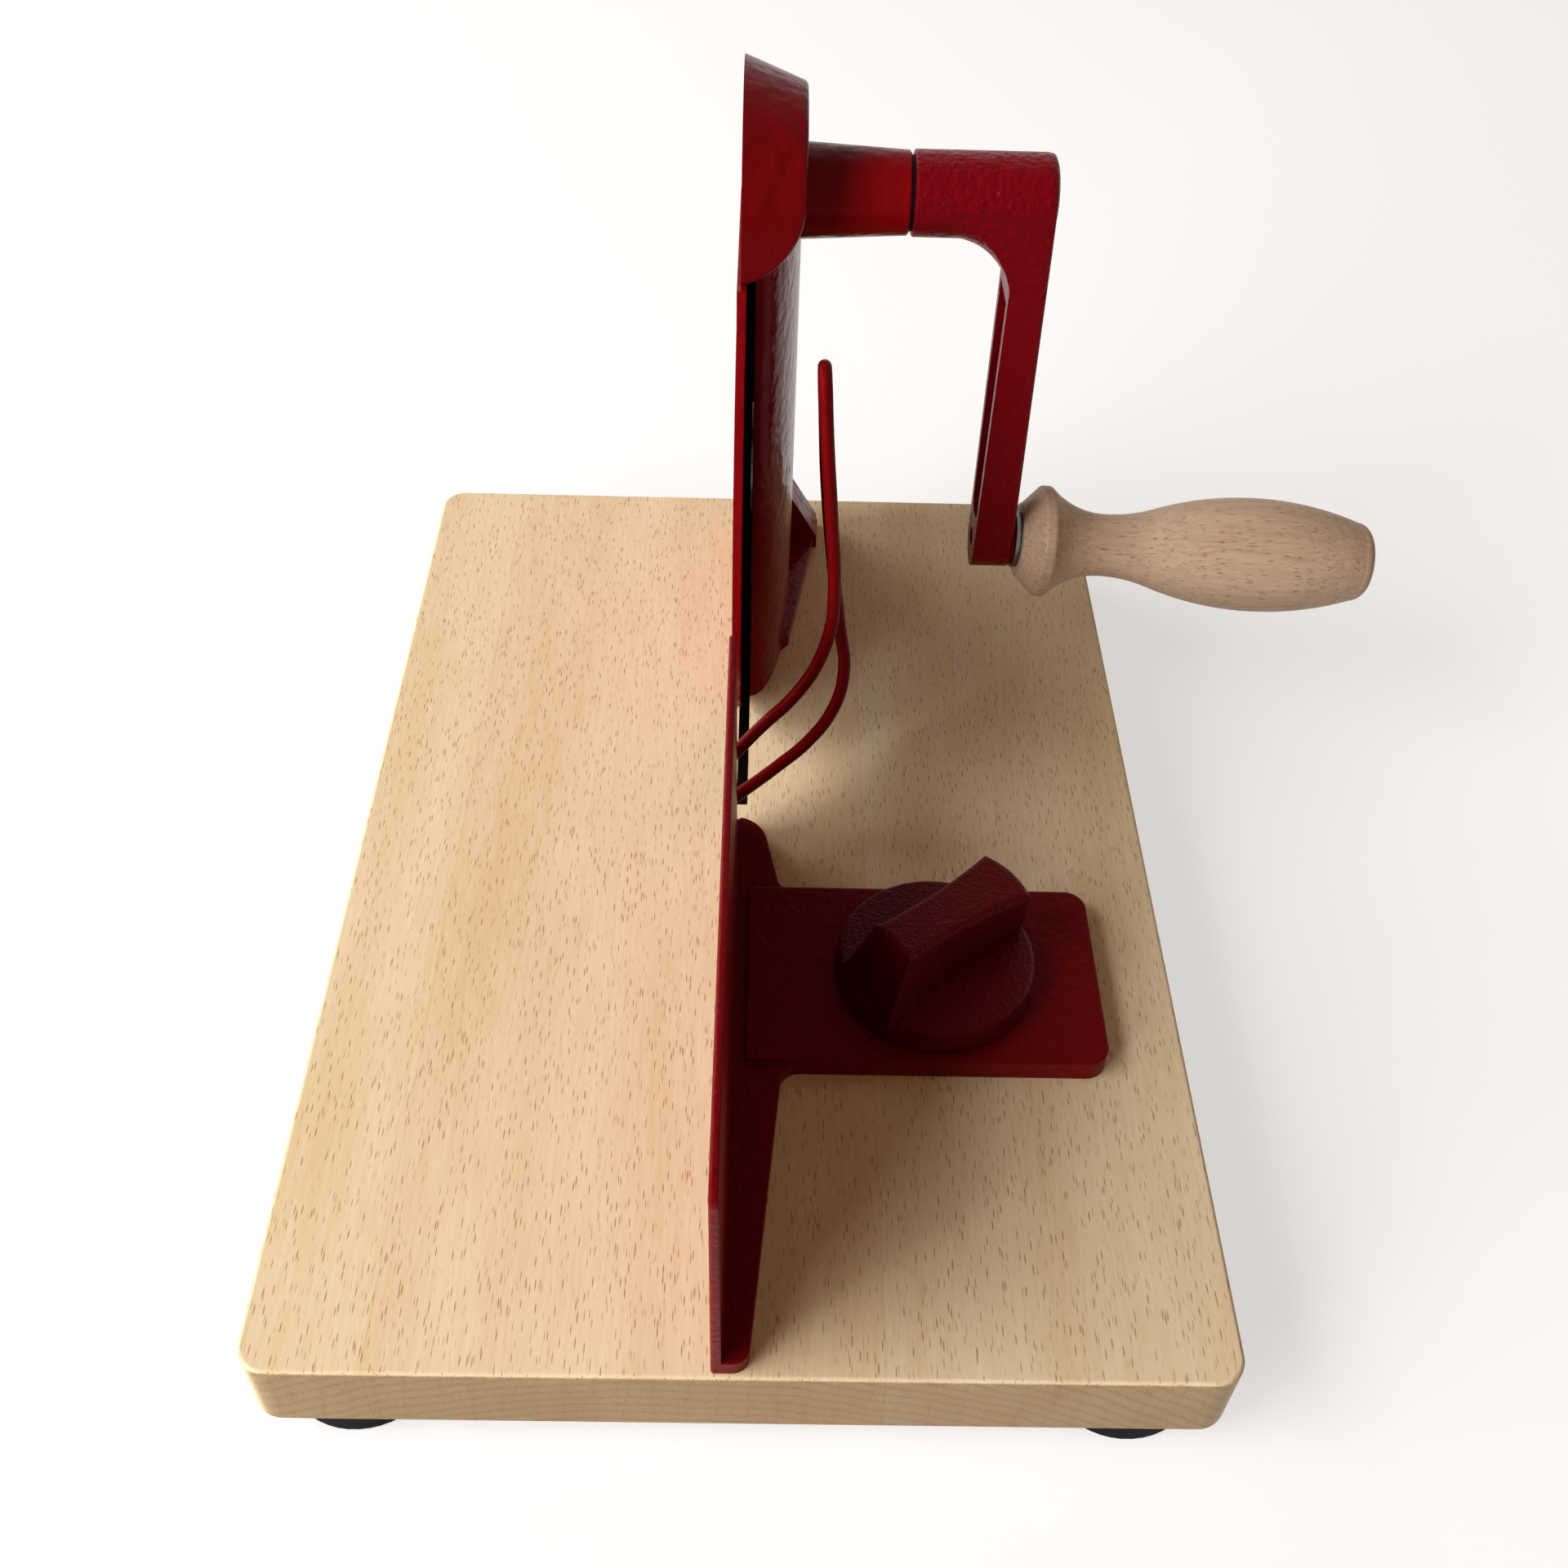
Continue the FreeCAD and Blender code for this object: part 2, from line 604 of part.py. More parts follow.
# Plate beside the blade, and the sheet over the gears
def make_cover():
    body = new_body("Cover")
    arc, front, rim = size("cover_arc_rad"), size("cover_front_y"), size("cover_front_rad")
    top, low = size("head_under_z") - 0.1, BOARD_TOP + 0.6
    front_low = AXIS_Y - math.sqrt(rim ** 2 - (BLADE_Z - low) ** 2)
    front_high = BLADE_Z + math.sqrt(rim ** 2 - (AXIS_Y - front) ** 2)
    rear_top = AXIS_Y + math.sqrt(arc ** 2 - (top - BLADE_Z) ** 2)
    rear = size("column_foot_rear_y")
    drop = BLADE_Z - math.sqrt(arc ** 2 - (rear - AXIS_Y) ** 2)
    sketch = sketch_on(body, "YZ_Plane", "CoverOutline", (0, 0, GUIDE))
    draw(sketch, (front_low, low), (rear, low), (rear, drop),
         ((AXIS_Y + arc, BLADE_Z), (rear_top, top)), (front, top), (front, front_high),
         ((AXIS_Y - rim, BLADE_Z), (front_low, low)))
    pad(body, "CoverPlate", sketch, size("cover_thick"), "Sizes.cover_thick")
    # Thinner lobe, let into the head
    lobe_left = size("cover_lobe_left")
    lobe = sketch_on(body, "YZ_Plane", "CoverLobe", (0, 0, lobe_left))
    ring(lobe, AXIS_Y, CRANK_Z, size("cover_lobe_rad"), "Sizes.cover_lobe_rad")
    pad(body, "CoverLobePad", lobe, COVER_RIGHT - lobe_left)
    start = (0, 0, GUIDE - 1)
    hole(body, "CoverWindow", "YZ_Plane", start, [(AXIS_Y, BLADE_Z)],
         size("cover_window_rad"), 6)
    hole(body, "CoverHoles", "YZ_Plane", start, cover_screw_spots, 2.15, 6)
    faces = [lobe_left, lobe_left, GUIDE]
    cones = [sink(face, y, z, 2, 3.6) for face, (y, z) in zip(faces, cover_screw_spots)]
    keep(without("CoverSunk", body, shaped("CoverSinks", Part.makeCompound(cones))),
         "blade_cover")
    screws = [countersunk(face + 0.1, COVER_RIGHT + 8.5, y, z, 2, 3.6)
              for face, (y, z) in zip(faces, cover_screw_spots)]
    keep(shaped("CoverScrews", Part.makeCompound(screws)), "blade_cover_screws")


def make_lid():
    body = new_body("Lid")
    for name, y, z, radius, ledge in ROOMS:
        sketch = sketch_on(body, "YZ_Plane", name + "LidOutline", (0, 0, size("lid_left")))
        ring(sketch, y, z, ledge - 0.2)
        bind(sketch, AttachmentOffset__Base__z="Sizes.lid_left")
        pad(body, name + "LidSheet", sketch, size("lid_thick"), "Sizes.lid_thick")
    start = (0, 0, size("lid_left") - 0.5)
    hole(body, "LidHubHole", "YZ_Plane", start, [(AXIS_Y, BLADE_Z)],
         size("hub_sleeve_rad") + 0.6, 3)
    hole(body, "LidHoles", "YZ_Plane", start, lid_screw_spots, 1.1, 3)
    keep(body, "gear_cover")
    screws = []
    left = size("lid_left")
    for y, z in lid_screw_spots:
        pan = Part.makeCylinder(1.8, 0.5, V(left - 0.5, y, z), V(1, 0, 0))
        shank = Part.makeCylinder(1, 5, V(left, y, z), V(1, 0, 0))
        slot = Part.makeBox(0.25, 5, 0.5, V(left - 0.5, y - 2.5, z - 0.25))
        screws.append(pan.fuse(shank).cut(slot).removeSplitter())
    keep(shaped("LidScrews", Part.makeCompound(screws)), "gear_cover_screws")


# Blade and the parts it turns on
def make_blade():
    bore, rad = size("blade_bore_rad"), size("blade_rad")
    body = new_body("Blade")
    sketch = sketch_on(body, "XY_Plane", "BladeProfile", (0, AXIS_Y, BLADE_Z))
    draw(sketch, (BLADE_LEFT, bore + FIT), (BLADE_LEFT, rad), (BLADE_LEFT + 0.15, rad),
         (BLADE_RIGHT, rad - size("blade_bevel")), (BLADE_RIGHT, bore + FIT))
    spin(body, "BladeDisc", sketch, "H_Axis")
    hole(body, "BladeHoles", "YZ_Plane", (0, 0, BLADE_LEFT - 1), blade_screw_spots, 1.65, 4)
    cones = [sink(BLADE_LEFT, y, z, 1.5, 2.8) for y, z in blade_screw_spots]
    keep(without("BladeSunk", body, shaped("BladeSinks", Part.makeCompound(cones))),
         "slicing_blade")

    hub = new_body("Hub")
    profile = sketch_on(hub, "XY_Plane", "HubProfile", (0, AXIS_Y, BLADE_Z))
    inner = size("bush_rad") + FIT
    flange = BLADE_RIGHT + size("hub_flange_thick")
    draw(profile, (BLADE_LEFT, inner), (BLADE_LEFT, bore), (BLADE_RIGHT, bore),
         (BLADE_RIGHT, size("hub_flange_rad")), (flange, size("hub_flange_rad")),
         (flange, size("hub_sleeve_rad")), (GEAR_RIGHT, size("hub_sleeve_rad")),
         (GEAR_RIGHT, inner))
    spin(hub, "HubTurning", profile, "H_Axis")
    hole(hub, "HubHoles", "YZ_Plane", (0, 0, BLADE_LEFT - 1), blade_screw_spots,
         1.5 + FIT, 6)
    keep(hub, "blade_hub")
    screws = [countersunk(BLADE_LEFT + 0.05, flange - 0.1, y, z, 1.5, 2.8)
              for y, z in blade_screw_spots]
    keep(shaped("BladeScrews", Part.makeCompound(screws)), "blade_screws")

    bush = without("BladeBush",
                   rod_x("BladeBushBar", size("bush_rad"), BLADE_LEFT, GEAR_RIGHT,
                         AXIS_Y, BLADE_Z, "Sizes.bush_rad"),
                   rod_x("BladeBushBore", size("pin_rad") + FIT, BLADE_LEFT - 1,
                         GEAR_RIGHT + 1, AXIS_Y, BLADE_Z, "Sizes.pin_rad + Sizes.fit"))
    keep(bush, "blade_bush")
    end = BLADE_LEFT - 0.1
    axle = without("BladeAxle",
                   rod_x("BladeAxleBar", size("pin_rad"), end, size("pin_floor") - 0.05,
                         AXIS_Y, BLADE_Z, "Sizes.pin_rad"),
                   rod_x("BladeAxleThread", 2 + FIT, end - 1, end + 8, AXIS_Y, BLADE_Z))
    keep(axle, "blade_axle")
    washer = without("BladeWasher",
                     rod_x("BladeWasherDisc", 7.5, end - 0.8, end, AXIS_Y, BLADE_Z),
                     rod_x("BladeWasherHole", 2 + FIT, end - 2, end + 1, AXIS_Y, BLADE_Z))
    keep(washer, "blade_retaining_washer")
    head = Part.makeCylinder(3.5, 1.6, V(end - 2.4, AXIS_Y, BLADE_Z), V(1, 0, 0))
    shank = Part.makeCylinder(2, 8, V(end - 0.8, AXIS_Y, BLADE_Z), V(1, 0, 0))
    slot = Part.makeBox(0.8, 9, 1, V(end - 2.4, AXIS_Y - 4.5, BLADE_Z - 0.5))
    keep(shaped("BladeBolt", head.fuse(shank).cut(slot).removeSplitter()),
         "blade_retaining_screw")


# Gears
def gear_shape(teeth, bore, phase):
    """Spur gear along X with involute flanks; phase turns a tooth from straight up."""
    pitch = MODULE * teeth / 2
    base = pitch * math.cos(math.radians(20))
    tip, root = pitch + 0.92 * MODULE, pitch - 1.2 * MODULE
    play = 0.045
    involute = math.tan(math.radians(20)) - math.radians(20)
    half = math.pi / (2 * teeth) - play / pitch + involute

    def flank(radius):
        """Angle from the tooth's middle to its flank at a radius."""
        slope = math.acos(min(1, base / radius))
        return half - (math.tan(slope) - slope)

    def spot(radius, angle):
        return V(0, radius * math.sin(angle), radius * math.cos(angle))

    low = max(base, root)
    step = 2 * math.pi / teeth
    edges = []
    for index in range(teeth):
        at = phase + index * step
        up = [spot(r, at - flank(r)) for r in (low, (low + tip) / 2, tip)]
        down = [spot(r, at + flank(r)) for r in (tip, (low + tip) / 2, low)]
        gap_end = spot(root, at + step - flank(low))
        if root < low - 0.01:
            edges.append(Part.LineSegment(spot(root, at - flank(low)), up[0]).toShape())
        edges.append(Part.Arc(*up).toShape())
        edges.append(Part.Arc(up[2], spot(tip, at), down[0]).toShape())
        edges.append(Part.Arc(*down).toShape())
        gap_start = down[2]
        if root < low - 0.01:
            gap_start = spot(root, at + flank(low))
            edges.append(Part.LineSegment(down[2], gap_start).toShape())
        edges.append(Part.Arc(gap_start, spot(low if root >= low else root,
                                              at + step / 2), gap_end).toShape())
    solid = Part.Face(Part.Wire(edges)).extrude(V(size("gear_wide"), 0, 0))
    return solid.cut(Part.makeCylinder(bore, 20, V(-5, 0, 0), V(1, 0, 0)))


def make_gear(name, label, cell, bore, y, z, phase):
    gear = shaped(name, gear_shape(int(size(cell)), bore, phase))
    gear.Placement = FreeCAD.Placement(V(size("gear_left"), y, z), FreeCAD.Rotation())
    bind(gear, Placement__Base__x="Sizes.gear_left")
    keep(gear, label)


def meshed(phase, way, teeth, next_teeth):
    """Phase of a gear that meshes with another one, seen along the way between them."""
    return way + math.pi - (phase - way) * teeth / next_teeth + math.pi / next_teeth


def make_gears():
    blade, lower = size("blade_teeth"), size("lower_teeth")
    upper, crank = size("upper_teeth"), size("crank_teeth")
    to_lower = math.atan2(IDLER_Y - AXIS_Y, LOWER_Z - BLADE_Z)
    to_top = math.atan2(AXIS_Y - IDLER_Y, CRANK_Z - UPPER_Z)
    lower_phase = meshed(0, to_lower, blade, lower)
    upper_phase = meshed(lower_phase, 0, lower, upper)
    crank_phase = meshed(upper_phase, to_top, upper, crank)
    make_gear("BladeGear", "blade_gear", "blade_teeth", size("hub_sleeve_rad") + FIT,
              AXIS_Y, BLADE_Z, 0)
    make_gear("LowerIdler", "lower_idler_gear", "lower_teeth", size("bush_rad") + FIT,
              IDLER_Y, LOWER_Z, lower_phase)
    make_gear("UpperIdler", "upper_idler_gear", "upper_teeth", size("bush_rad") + FIT,
              IDLER_Y, UPPER_Z, upper_phase)
    make_gear("CrankGear", "crank_gear", "crank_teeth", size("shaft_rad") + FIT,
              AXIS_Y, CRANK_Z, crank_phase)
    left, axles = size("gear_left"), []
    for name, z in (("Lower", LOWER_Z), ("Upper", UPPER_Z)):
        bush = without(name + "Bush",
                       rod_x(name + "BushBar", size("bush_rad"), left, GEAR_RIGHT, IDLER_Y,
                             z, "Sizes.bush_rad"),
                       rod_x(name + "BushBore", size("pin_rad") + FIT, left - 1,
                             GEAR_RIGHT + 1, IDLER_Y, z, "Sizes.pin_rad + Sizes.fit"))
        keep(bush, name.lower() + "_idler_bush")
        low = left - 0.2
        axles.append(Part.makeCylinder(size("pin_rad"), size("pin_floor") - 0.05 - low,
                                       V(low, IDLER_Y, z), V(1, 0, 0)))
    keep(shaped("IdlerAxles", Part.makeCompound(axles)), "idler_axles")


# Crank, its shaft and its handle
def make_shaft():
    keep(rod_x("Shaft", size("shaft_rad"), size("gear_left") - 0.1,
               size("crank_hub_right") - 6.6, AXIS_Y, CRANK_Z, "Sizes.shaft_rad"),
         "crank_shaft")
    inner = size("cavity_floor") + FIT
    outer = size("boss_end_x") - size("outer_bush_long")
    for place, start, long in (("Inner", inner, size("inner_bush_long")),
                               ("Outer", outer, size("outer_bush_long"))):
        bush = without(place + "CrankBush",
                       rod_x(place + "BushBar", size("crank_bush_rad"), start,
                             start + long, AXIS_Y, CRANK_Z, "Sizes.crank_bush_rad"),
                       rod_x(place + "BushBore", size("shaft_rad") + FIT, start - 1,
                             start + long + 1, AXIS_Y, CRANK_Z,
                             "Sizes.shaft_rad + Sizes.fit"))
        keep(bush, "crank_bush_" + place.lower())
    left = size("boss_end_x")
    washer = without("ThrustWasher",
                     rod_x("ThrustDisc", 10, left, left + 0.8, AXIS_Y, CRANK_Z),
                     rod_x("ThrustHole", size("shaft_rad") + FIT, left - 1, left + 2,
                           AXIS_Y, CRANK_Z))
    keep(washer, "thrust_washer")


def grip_place(along):
    """Place on the handle's axis, which droops a little from the crank's end."""
    slant = FreeCAD.Rotation(V(0, 1, 0), 90 + size("grip_droop"))
    eye = V(size("crank_arm_right_low"), AXIS_Y, GRIP_Z)
    return FreeCAD.Placement(eye + slant.multVec(V(0, 0, along)), slant)


def make_crank():
    body = new_body("Crank")
    hub_left, hub_right = size("crank_hub_left"), size("crank_hub_right")
    hub, end = size("crank_hub_rad"), size("crank_end_rad")
    arm_left, blend = size("crank_arm_left"), size("crank_blend")
    foot = GRIP_Z - end
    # Flare that rounds the underside of the hub into the arm
    flare = sketch_on(body, "XY_Plane", "FlareProfile", (0, AXIS_Y, CRANK_Z))
    reach = size("crank_blend_reach")
    start, low = arm_left - reach + 0.3, hub - 0.15
    half = math.sqrt(0.5)
    draw(flare, (start, 0), (start, low), ((start + half * reach, low + blend - half * blend),
         (start + reach, low + blend)), (start + reach + 0.7, low + blend),
         (start + reach + 0.7, 0))
    spin(body, "HubFlare", flare, "H_Axis")
    # Arm seen from the user
    arm = sketch_on(body, "XZ_Plane", "ArmOutline", (0, 0, -AXIS_Y))
    draw(arm, (arm_left, CRANK_Z + hub), (arm_left, foot), (size("crank_arm_right_low"), foot),
         (size("crank_arm_right_top"), CRANK_Z + hub))
    pad(body, "ArmBlock", arm, size("crank_arm_wide_top"), "Sizes.crank_arm_wide_top",
        middle=True)
    # Sides of the arm draw in to the round end
    side = sketch_on(body, "YZ_Plane", "ArmSides", (0, 0, hub_left - 1))
    draw(side, (0, 0), (200, 0), (200, 260), (0, 260))
    top = size("crank_arm_wide_top") / 2
    draw(side, (AXIS_Y - top, CRANK_Z), (AXIS_Y - top, CRANK_Z - hub),
         (AXIS_Y - end, GRIP_Z), ((AXIS_Y, GRIP_Z - end), (AXIS_Y + end, GRIP_Z)),
         (AXIS_Y + top, CRANK_Z - hub), (AXIS_Y + top, CRANK_Z),
         ((AXIS_Y, CRANK_Z + top), (AXIS_Y - top, CRANK_Z)))
    pocket(body, "ArmSidesCut", side, 60)
    soften(body, "ArmEdges", 1.2, lambda b: b.XMin > 38.5)
    # Hub
    profile = sketch_on(body, "XY_Plane", "CrankHubProfile", (0, AXIS_Y, CRANK_Z))
    soft = 3
    draw(profile, (hub_left, 0), (hub_left, hub - 0.4), (hub_left + 0.4, hub),
         (hub_right - soft, hub),
         ((hub_right - 0.3 * soft, hub - 0.3 * soft), (hub_right, hub - soft)),
         (hub_right, 0))
    spin(body, "CrankHub", profile, "H_Axis")
    # Hollow on the side that faces the machine, ending above the eye
    wall = size("crank_wall")
    hollow = sketch_on(body, "YZ_Plane", "ArmHollow", (0, 0, arm_left - 0.5))
    high, low = CRANK_Z - hub - blend - 1, GRIP_Z + 12.5
    wide_high, wide_low = 10.6 - wall, end + 0.3 - wall
    draw(hollow, (AXIS_Y - wide_high, high), (AXIS_Y - wide_low, low),
         ((AXIS_Y, low - 3), (AXIS_Y + wide_low, low)), (AXIS_Y + wide_high, high))
    pocket(body, "ArmHollowCut", hollow, size("crank_recess") + 0.5)
    hole(body, "CrankBore", "YZ_Plane", (0, 0, hub_left - 1), [(AXIS_Y, CRANK_Z)],
         size("shaft_rad") + FIT, hub_right - 6.5 - hub_left + 1)
    # Tapped hole for the grub screw, from the rear
    hole(body, "GrubHole", "XZ_Plane", (0, 0, -AXIS_Y - 20), [(14, CRANK_Z)], 3 + FIT, 20)
    # Seat square to the handle's axis, and the tapped hole for its bolt
    seat = doc.addObject("Part::Cylinder", "GripSeat")
    seat.Radius = 8
    seat.Height = 6.8
    seat.Placement = grip_place(-6)
    tapped = doc.addObject("Part::Cylinder", "GripBoltBore")
    tapped.Radius = size("grip_bolt_rad") + FIT
    tapped.Height = 40
    tapped.Placement = grip_place(-25)
    bind(tapped, Radius="Sizes.grip_bolt_rad + Sizes.fit")
    keep(without("CrankArm", joined("CrankCasting", body, seat), tapped), "crank_arm")
    screw = Part.makeCylinder(3, 5, V(14, AXIS_Y + size("shaft_rad") + FIT, CRANK_Z),
                              V(0, 1, 0))
    socket = Part.makeCylinder(1.5, 2.5, V(14, AXIS_Y + 9, CRANK_Z), V(0, 1, 0))
    keep(shaped("GrubScrew", screw.cut(socket)), "crank_grub_screw")


def make_grip():
    """Turned wooden handle: ring, waist, belly and a crowned end."""
    body = new_body("Grip")
    sketch = sketch_on(body, "XZ_Plane", "GripProfile")
    start, end = size("grip_start"), size("grip_end")
    bore, sink = size("sleeve_rad") + FIT, 6.4
    floor = end - 11
    draw(sketch, (bore, start), (11.4, start), ((11.9, start + 0.2), (12.1, start + 0.7)),
         (17.3, 8.4), ((17.75, 8.9), (17.9, 9.5)), (17.9, 11.4), ((17.75, 11.9), (17.4, 12.4)),
         ((13, 18.4), (10.05, 30.7)), ((10.72, 38.71), (12.71, 46.5)),
         ((18.43, 80.5), (12.89, end - 4.29)), ((12.2, end - 2.2), (10.7, end - 0.7)),
         ((8.7, end - 0.15), (sink, end)), (sink, floor), (bore, floor))
    spin(body, "GripTurning", sketch, "V_Axis")
    body.Placement = grip_place(0)
    keep(body, "wooden_handle")

    rad, seat = size("grip_bolt_rad"), 0.8
    shank = Part.makeCylinder(rad, floor + 0.3 + 11, V(0, 0, -11))
    head = Part.makeCylinder(5.4, 4, V(0, 0, floor + 0.3))
    slot = Part.makeBox(12, 1.2, 1.2, V(-6, -0.6, floor + 3.1))
    bolt = shaped("GripBolt", shank.fuse(head).cut(slot).removeSplitter())
    bolt.Placement = grip_place(0)
    keep(bolt, "handle_bolt")
    disc = Part.makeCylinder(9, 1.2, V(0, 0, seat))
    washer = shaped("GripWasher", disc.cut(Part.makeCylinder(rad + FIT, 5)))
    washer.Placement = grip_place(0)
    keep(washer, "handle_washer")
    tube = Part.makeCylinder(size("sleeve_rad"), floor + 0.3 - seat - 1.2,
                             V(0, 0, seat + 1.2))
    sleeve = shaped("GripSleeve", tube.cut(Part.makeCylinder(rad + FIT, 200)))
    sleeve.Placement = grip_place(0)
    keep(sleeve, "handle_sleeve")


# Slice guard: one rod bent into a hoop beside the blade, cast onto the stop plate
GUARD_ROUTE = [
    (-46.6, 0, 65.4), (-38, 5.4, 72.6), (-29.6, 10, 79.2), (-23.5, 13, 87.8),
    (-19, 17.5, 100), (-18.5, 22, 114.4), (-19.9, 26, 130.5), (-22.4, 33, 158.4),
    (-23.1, 37.2, 168.5), (-23.3, 41.2, 170.5), (-23.2, 45.2, 167.1), (-22.4, 48, 153),
    (-21.2, 46, 133.4), (-17.8, 40, 103), (-14.9, 36, 83), (-13.4, 31.6, 74.2),
    (-14.3, 27, 67.6), (-18, 22, 60.6), (-24.5, 16, 55.5), (-34.4, 9, 50.9),
    (-46.4, 0, 47.2),
]


def smooth_wire(route):
    """Chain of tangent arcs through points in space."""
    points = [V(*spot) for spot in route]
    ways = []
    for index, point in enumerate(points):
        back = point - points[max(index - 1, 0)]
        on = points[min(index + 1, len(points) - 1)] - point
        if index == 0:
            way = on
        elif index == len(points) - 1:
            way = back
        else:
            way = back * (1 / back.dot(back)) + on * (1 / on.dot(on))
        ways.append(way.normalize())
    edges = []
    for one, two, go, come in zip(points, points[1:], ways, ways[1:]):
        chord = two - one
        reach = chord.dot(go + come)
        slack = 2 * (1 - go.dot(come))
        if slack < 1e-9:
            arm = chord.dot(chord) / (2 * reach)
        else:
            arm = (math.sqrt(reach ** 2 + slack * chord.dot(chord)) - reach) / slack
        inner = (two - come * arm) - (one + go * arm)
        knot = (one + go * arm + two - come * arm) * 0.5
        edges.append(tangent_arc(one, knot, go))
        edges.append(tangent_arc(knot, two, V(inner).normalize()))
    return Part.Wire(edges)


def tangent_arc(start, end, way):
    """Arc between two points that leaves the first one in a given direction."""
    chord = end - start
    line = V(chord).normalize()
    lean = way - line * way.dot(line)
    if lean.Length < 1e-5:
        return Part.LineSegment(start, end).toShape()
    angle = math.acos(max(-1.0, min(1.0, way.dot(line))))
    sag = V(lean).normalize() * (chord.Length / 2 * math.tan(angle / 2))
    return Part.Arc(start, (start + end) * 0.5 + sag, end).toShape()


def make_stop_plate():
    body = new_body("StopPlate")
    thick, front, rear = size("plate_thick"), size("plate_front_y"), size("plate_rear_y")
    top, low = BOARD_TOP + size("plate_high"), PLATE_LOW
    corner = 5
    bend = corner * (1 - math.sqrt(0.5))
    # The cast plate is thinner at its top
    left = size("plate_left")
    wall = sketch_on(body, "XZ_Plane", "PlateProfile", (0, 0, -rear))
    draw(wall, (left, low), (left + thick, low), (left + size("plate_top_thick"), top),
         (left, top))
    pad(body, "Plate", wall, rear - front)
    round_top = sketch_on(body, "YZ_Plane", "PlateCorner", (0, 0, left - 1))
    draw(round_top, (front - 1, top - corner), (front, top - corner),
         ((front + bend, top - bend), (front + corner, top)), (front + corner, top + 1),
         (front - 1, top + 1))
    pocket(body, "PlateCornerCut", round_top, 8)
    soften(body, "PlateEdge", 0.9, lambda b: b.XMax < left + 0.01
           and (b.YMax < front + corner + 0.01 or b.ZMin > top - 0.01))
    # Foot flange along the plate, wider towards the arm
    arm_front, arm_rear = size("arm_front_y"), size("arm_rear_y")
    flange = sketch_on(body, "XY_Plane", "PlateFlangePlan", (0, 0, low))
    draw(flange, (left + 1, front), (-42.5, front), ((-39.7, front + 1.2), (-38.5, front + 4)),
         (-31.6, arm_front - 5), ((-30.1, arm_front - 1.5), (-26.6, arm_front)),
         (-26.6, arm_rear), ((-30.6, arm_rear + 1.3), (-32.6, arm_rear + 4.6)),
         (-36, -7), ((-38.6, -1.6), (-43.6, 1.6)), (left + 1, 0))
    pad(body, "PlateFlange", flange, size("plate_flange_high"), "Sizes.plate_flange_high")
    arm = sketch_on(body, "XY_Plane", "ArmPlan", (0, 0, low))
    right, soft = size("arm_right_x"), size("arm_corner")
    turn = soft * (1 - math.sqrt(0.5))
    draw(arm, (-41, arm_front), (right - soft, arm_front),
         ((right - turn, arm_front + turn), (right, arm_front + soft)),
         (right, arm_rear - soft), ((right - turn, arm_rear - turn), (right - soft, arm_rear)),
         (-41, arm_rear))
    pad(body, "Arm", arm, size("arm_high") - size("plate_gap"))
    # Slot for the clamp bolt and holes for the guide pins
    x, y, wide = size("stud_x"), size("stud_y"), size("stud_rad") + 0.3
    far = x - size("travel")
    slot = sketch_on(body, "XY_Plane", "StudSlot", (0, 0, BOARD_TOP - 1))
    draw(slot, (x, y - wide), ((x + wide, y), (x, y + wide)), (far, y + wide),
         ((far - wide, y), (far, y - wide)))
    pocket(body, "StudSlotCut", slot, 12)
    hole(body, "GuidePinHoles", "XY_Plane", (0, 0, BOARD_TOP - 1), guide_pin_spots,
         size("guide_pin_rad") + FIT, 5.5)
    wire = smooth_wire(GUARD_ROUTE)
    first = wire.Edges[0]
    way = first.tangentAt(first.FirstParameter)
    circle = Part.Circle(V(*GUARD_ROUTE[0]), way, size("guard_rod_rad")).toShape()
    rod = wire.makePipeShell([Part.Wire([circle])], True, False)
    rod = rod.cut(Part.makeBox(30, 60, 160, V(left - 30, -40, 20)))
    keep(joined("StopCasting", body, shaped("SliceGuard", rod)), "stop_plate")
    pins = [Part.makeCylinder(size("guide_pin_rad"), 9, V(px, py, BOARD_TOP - 4.7))
            for px, py in guide_pin_spots]
    keep(shaped("GuidePins", Part.makeCompound(pins)), "guide_pins")


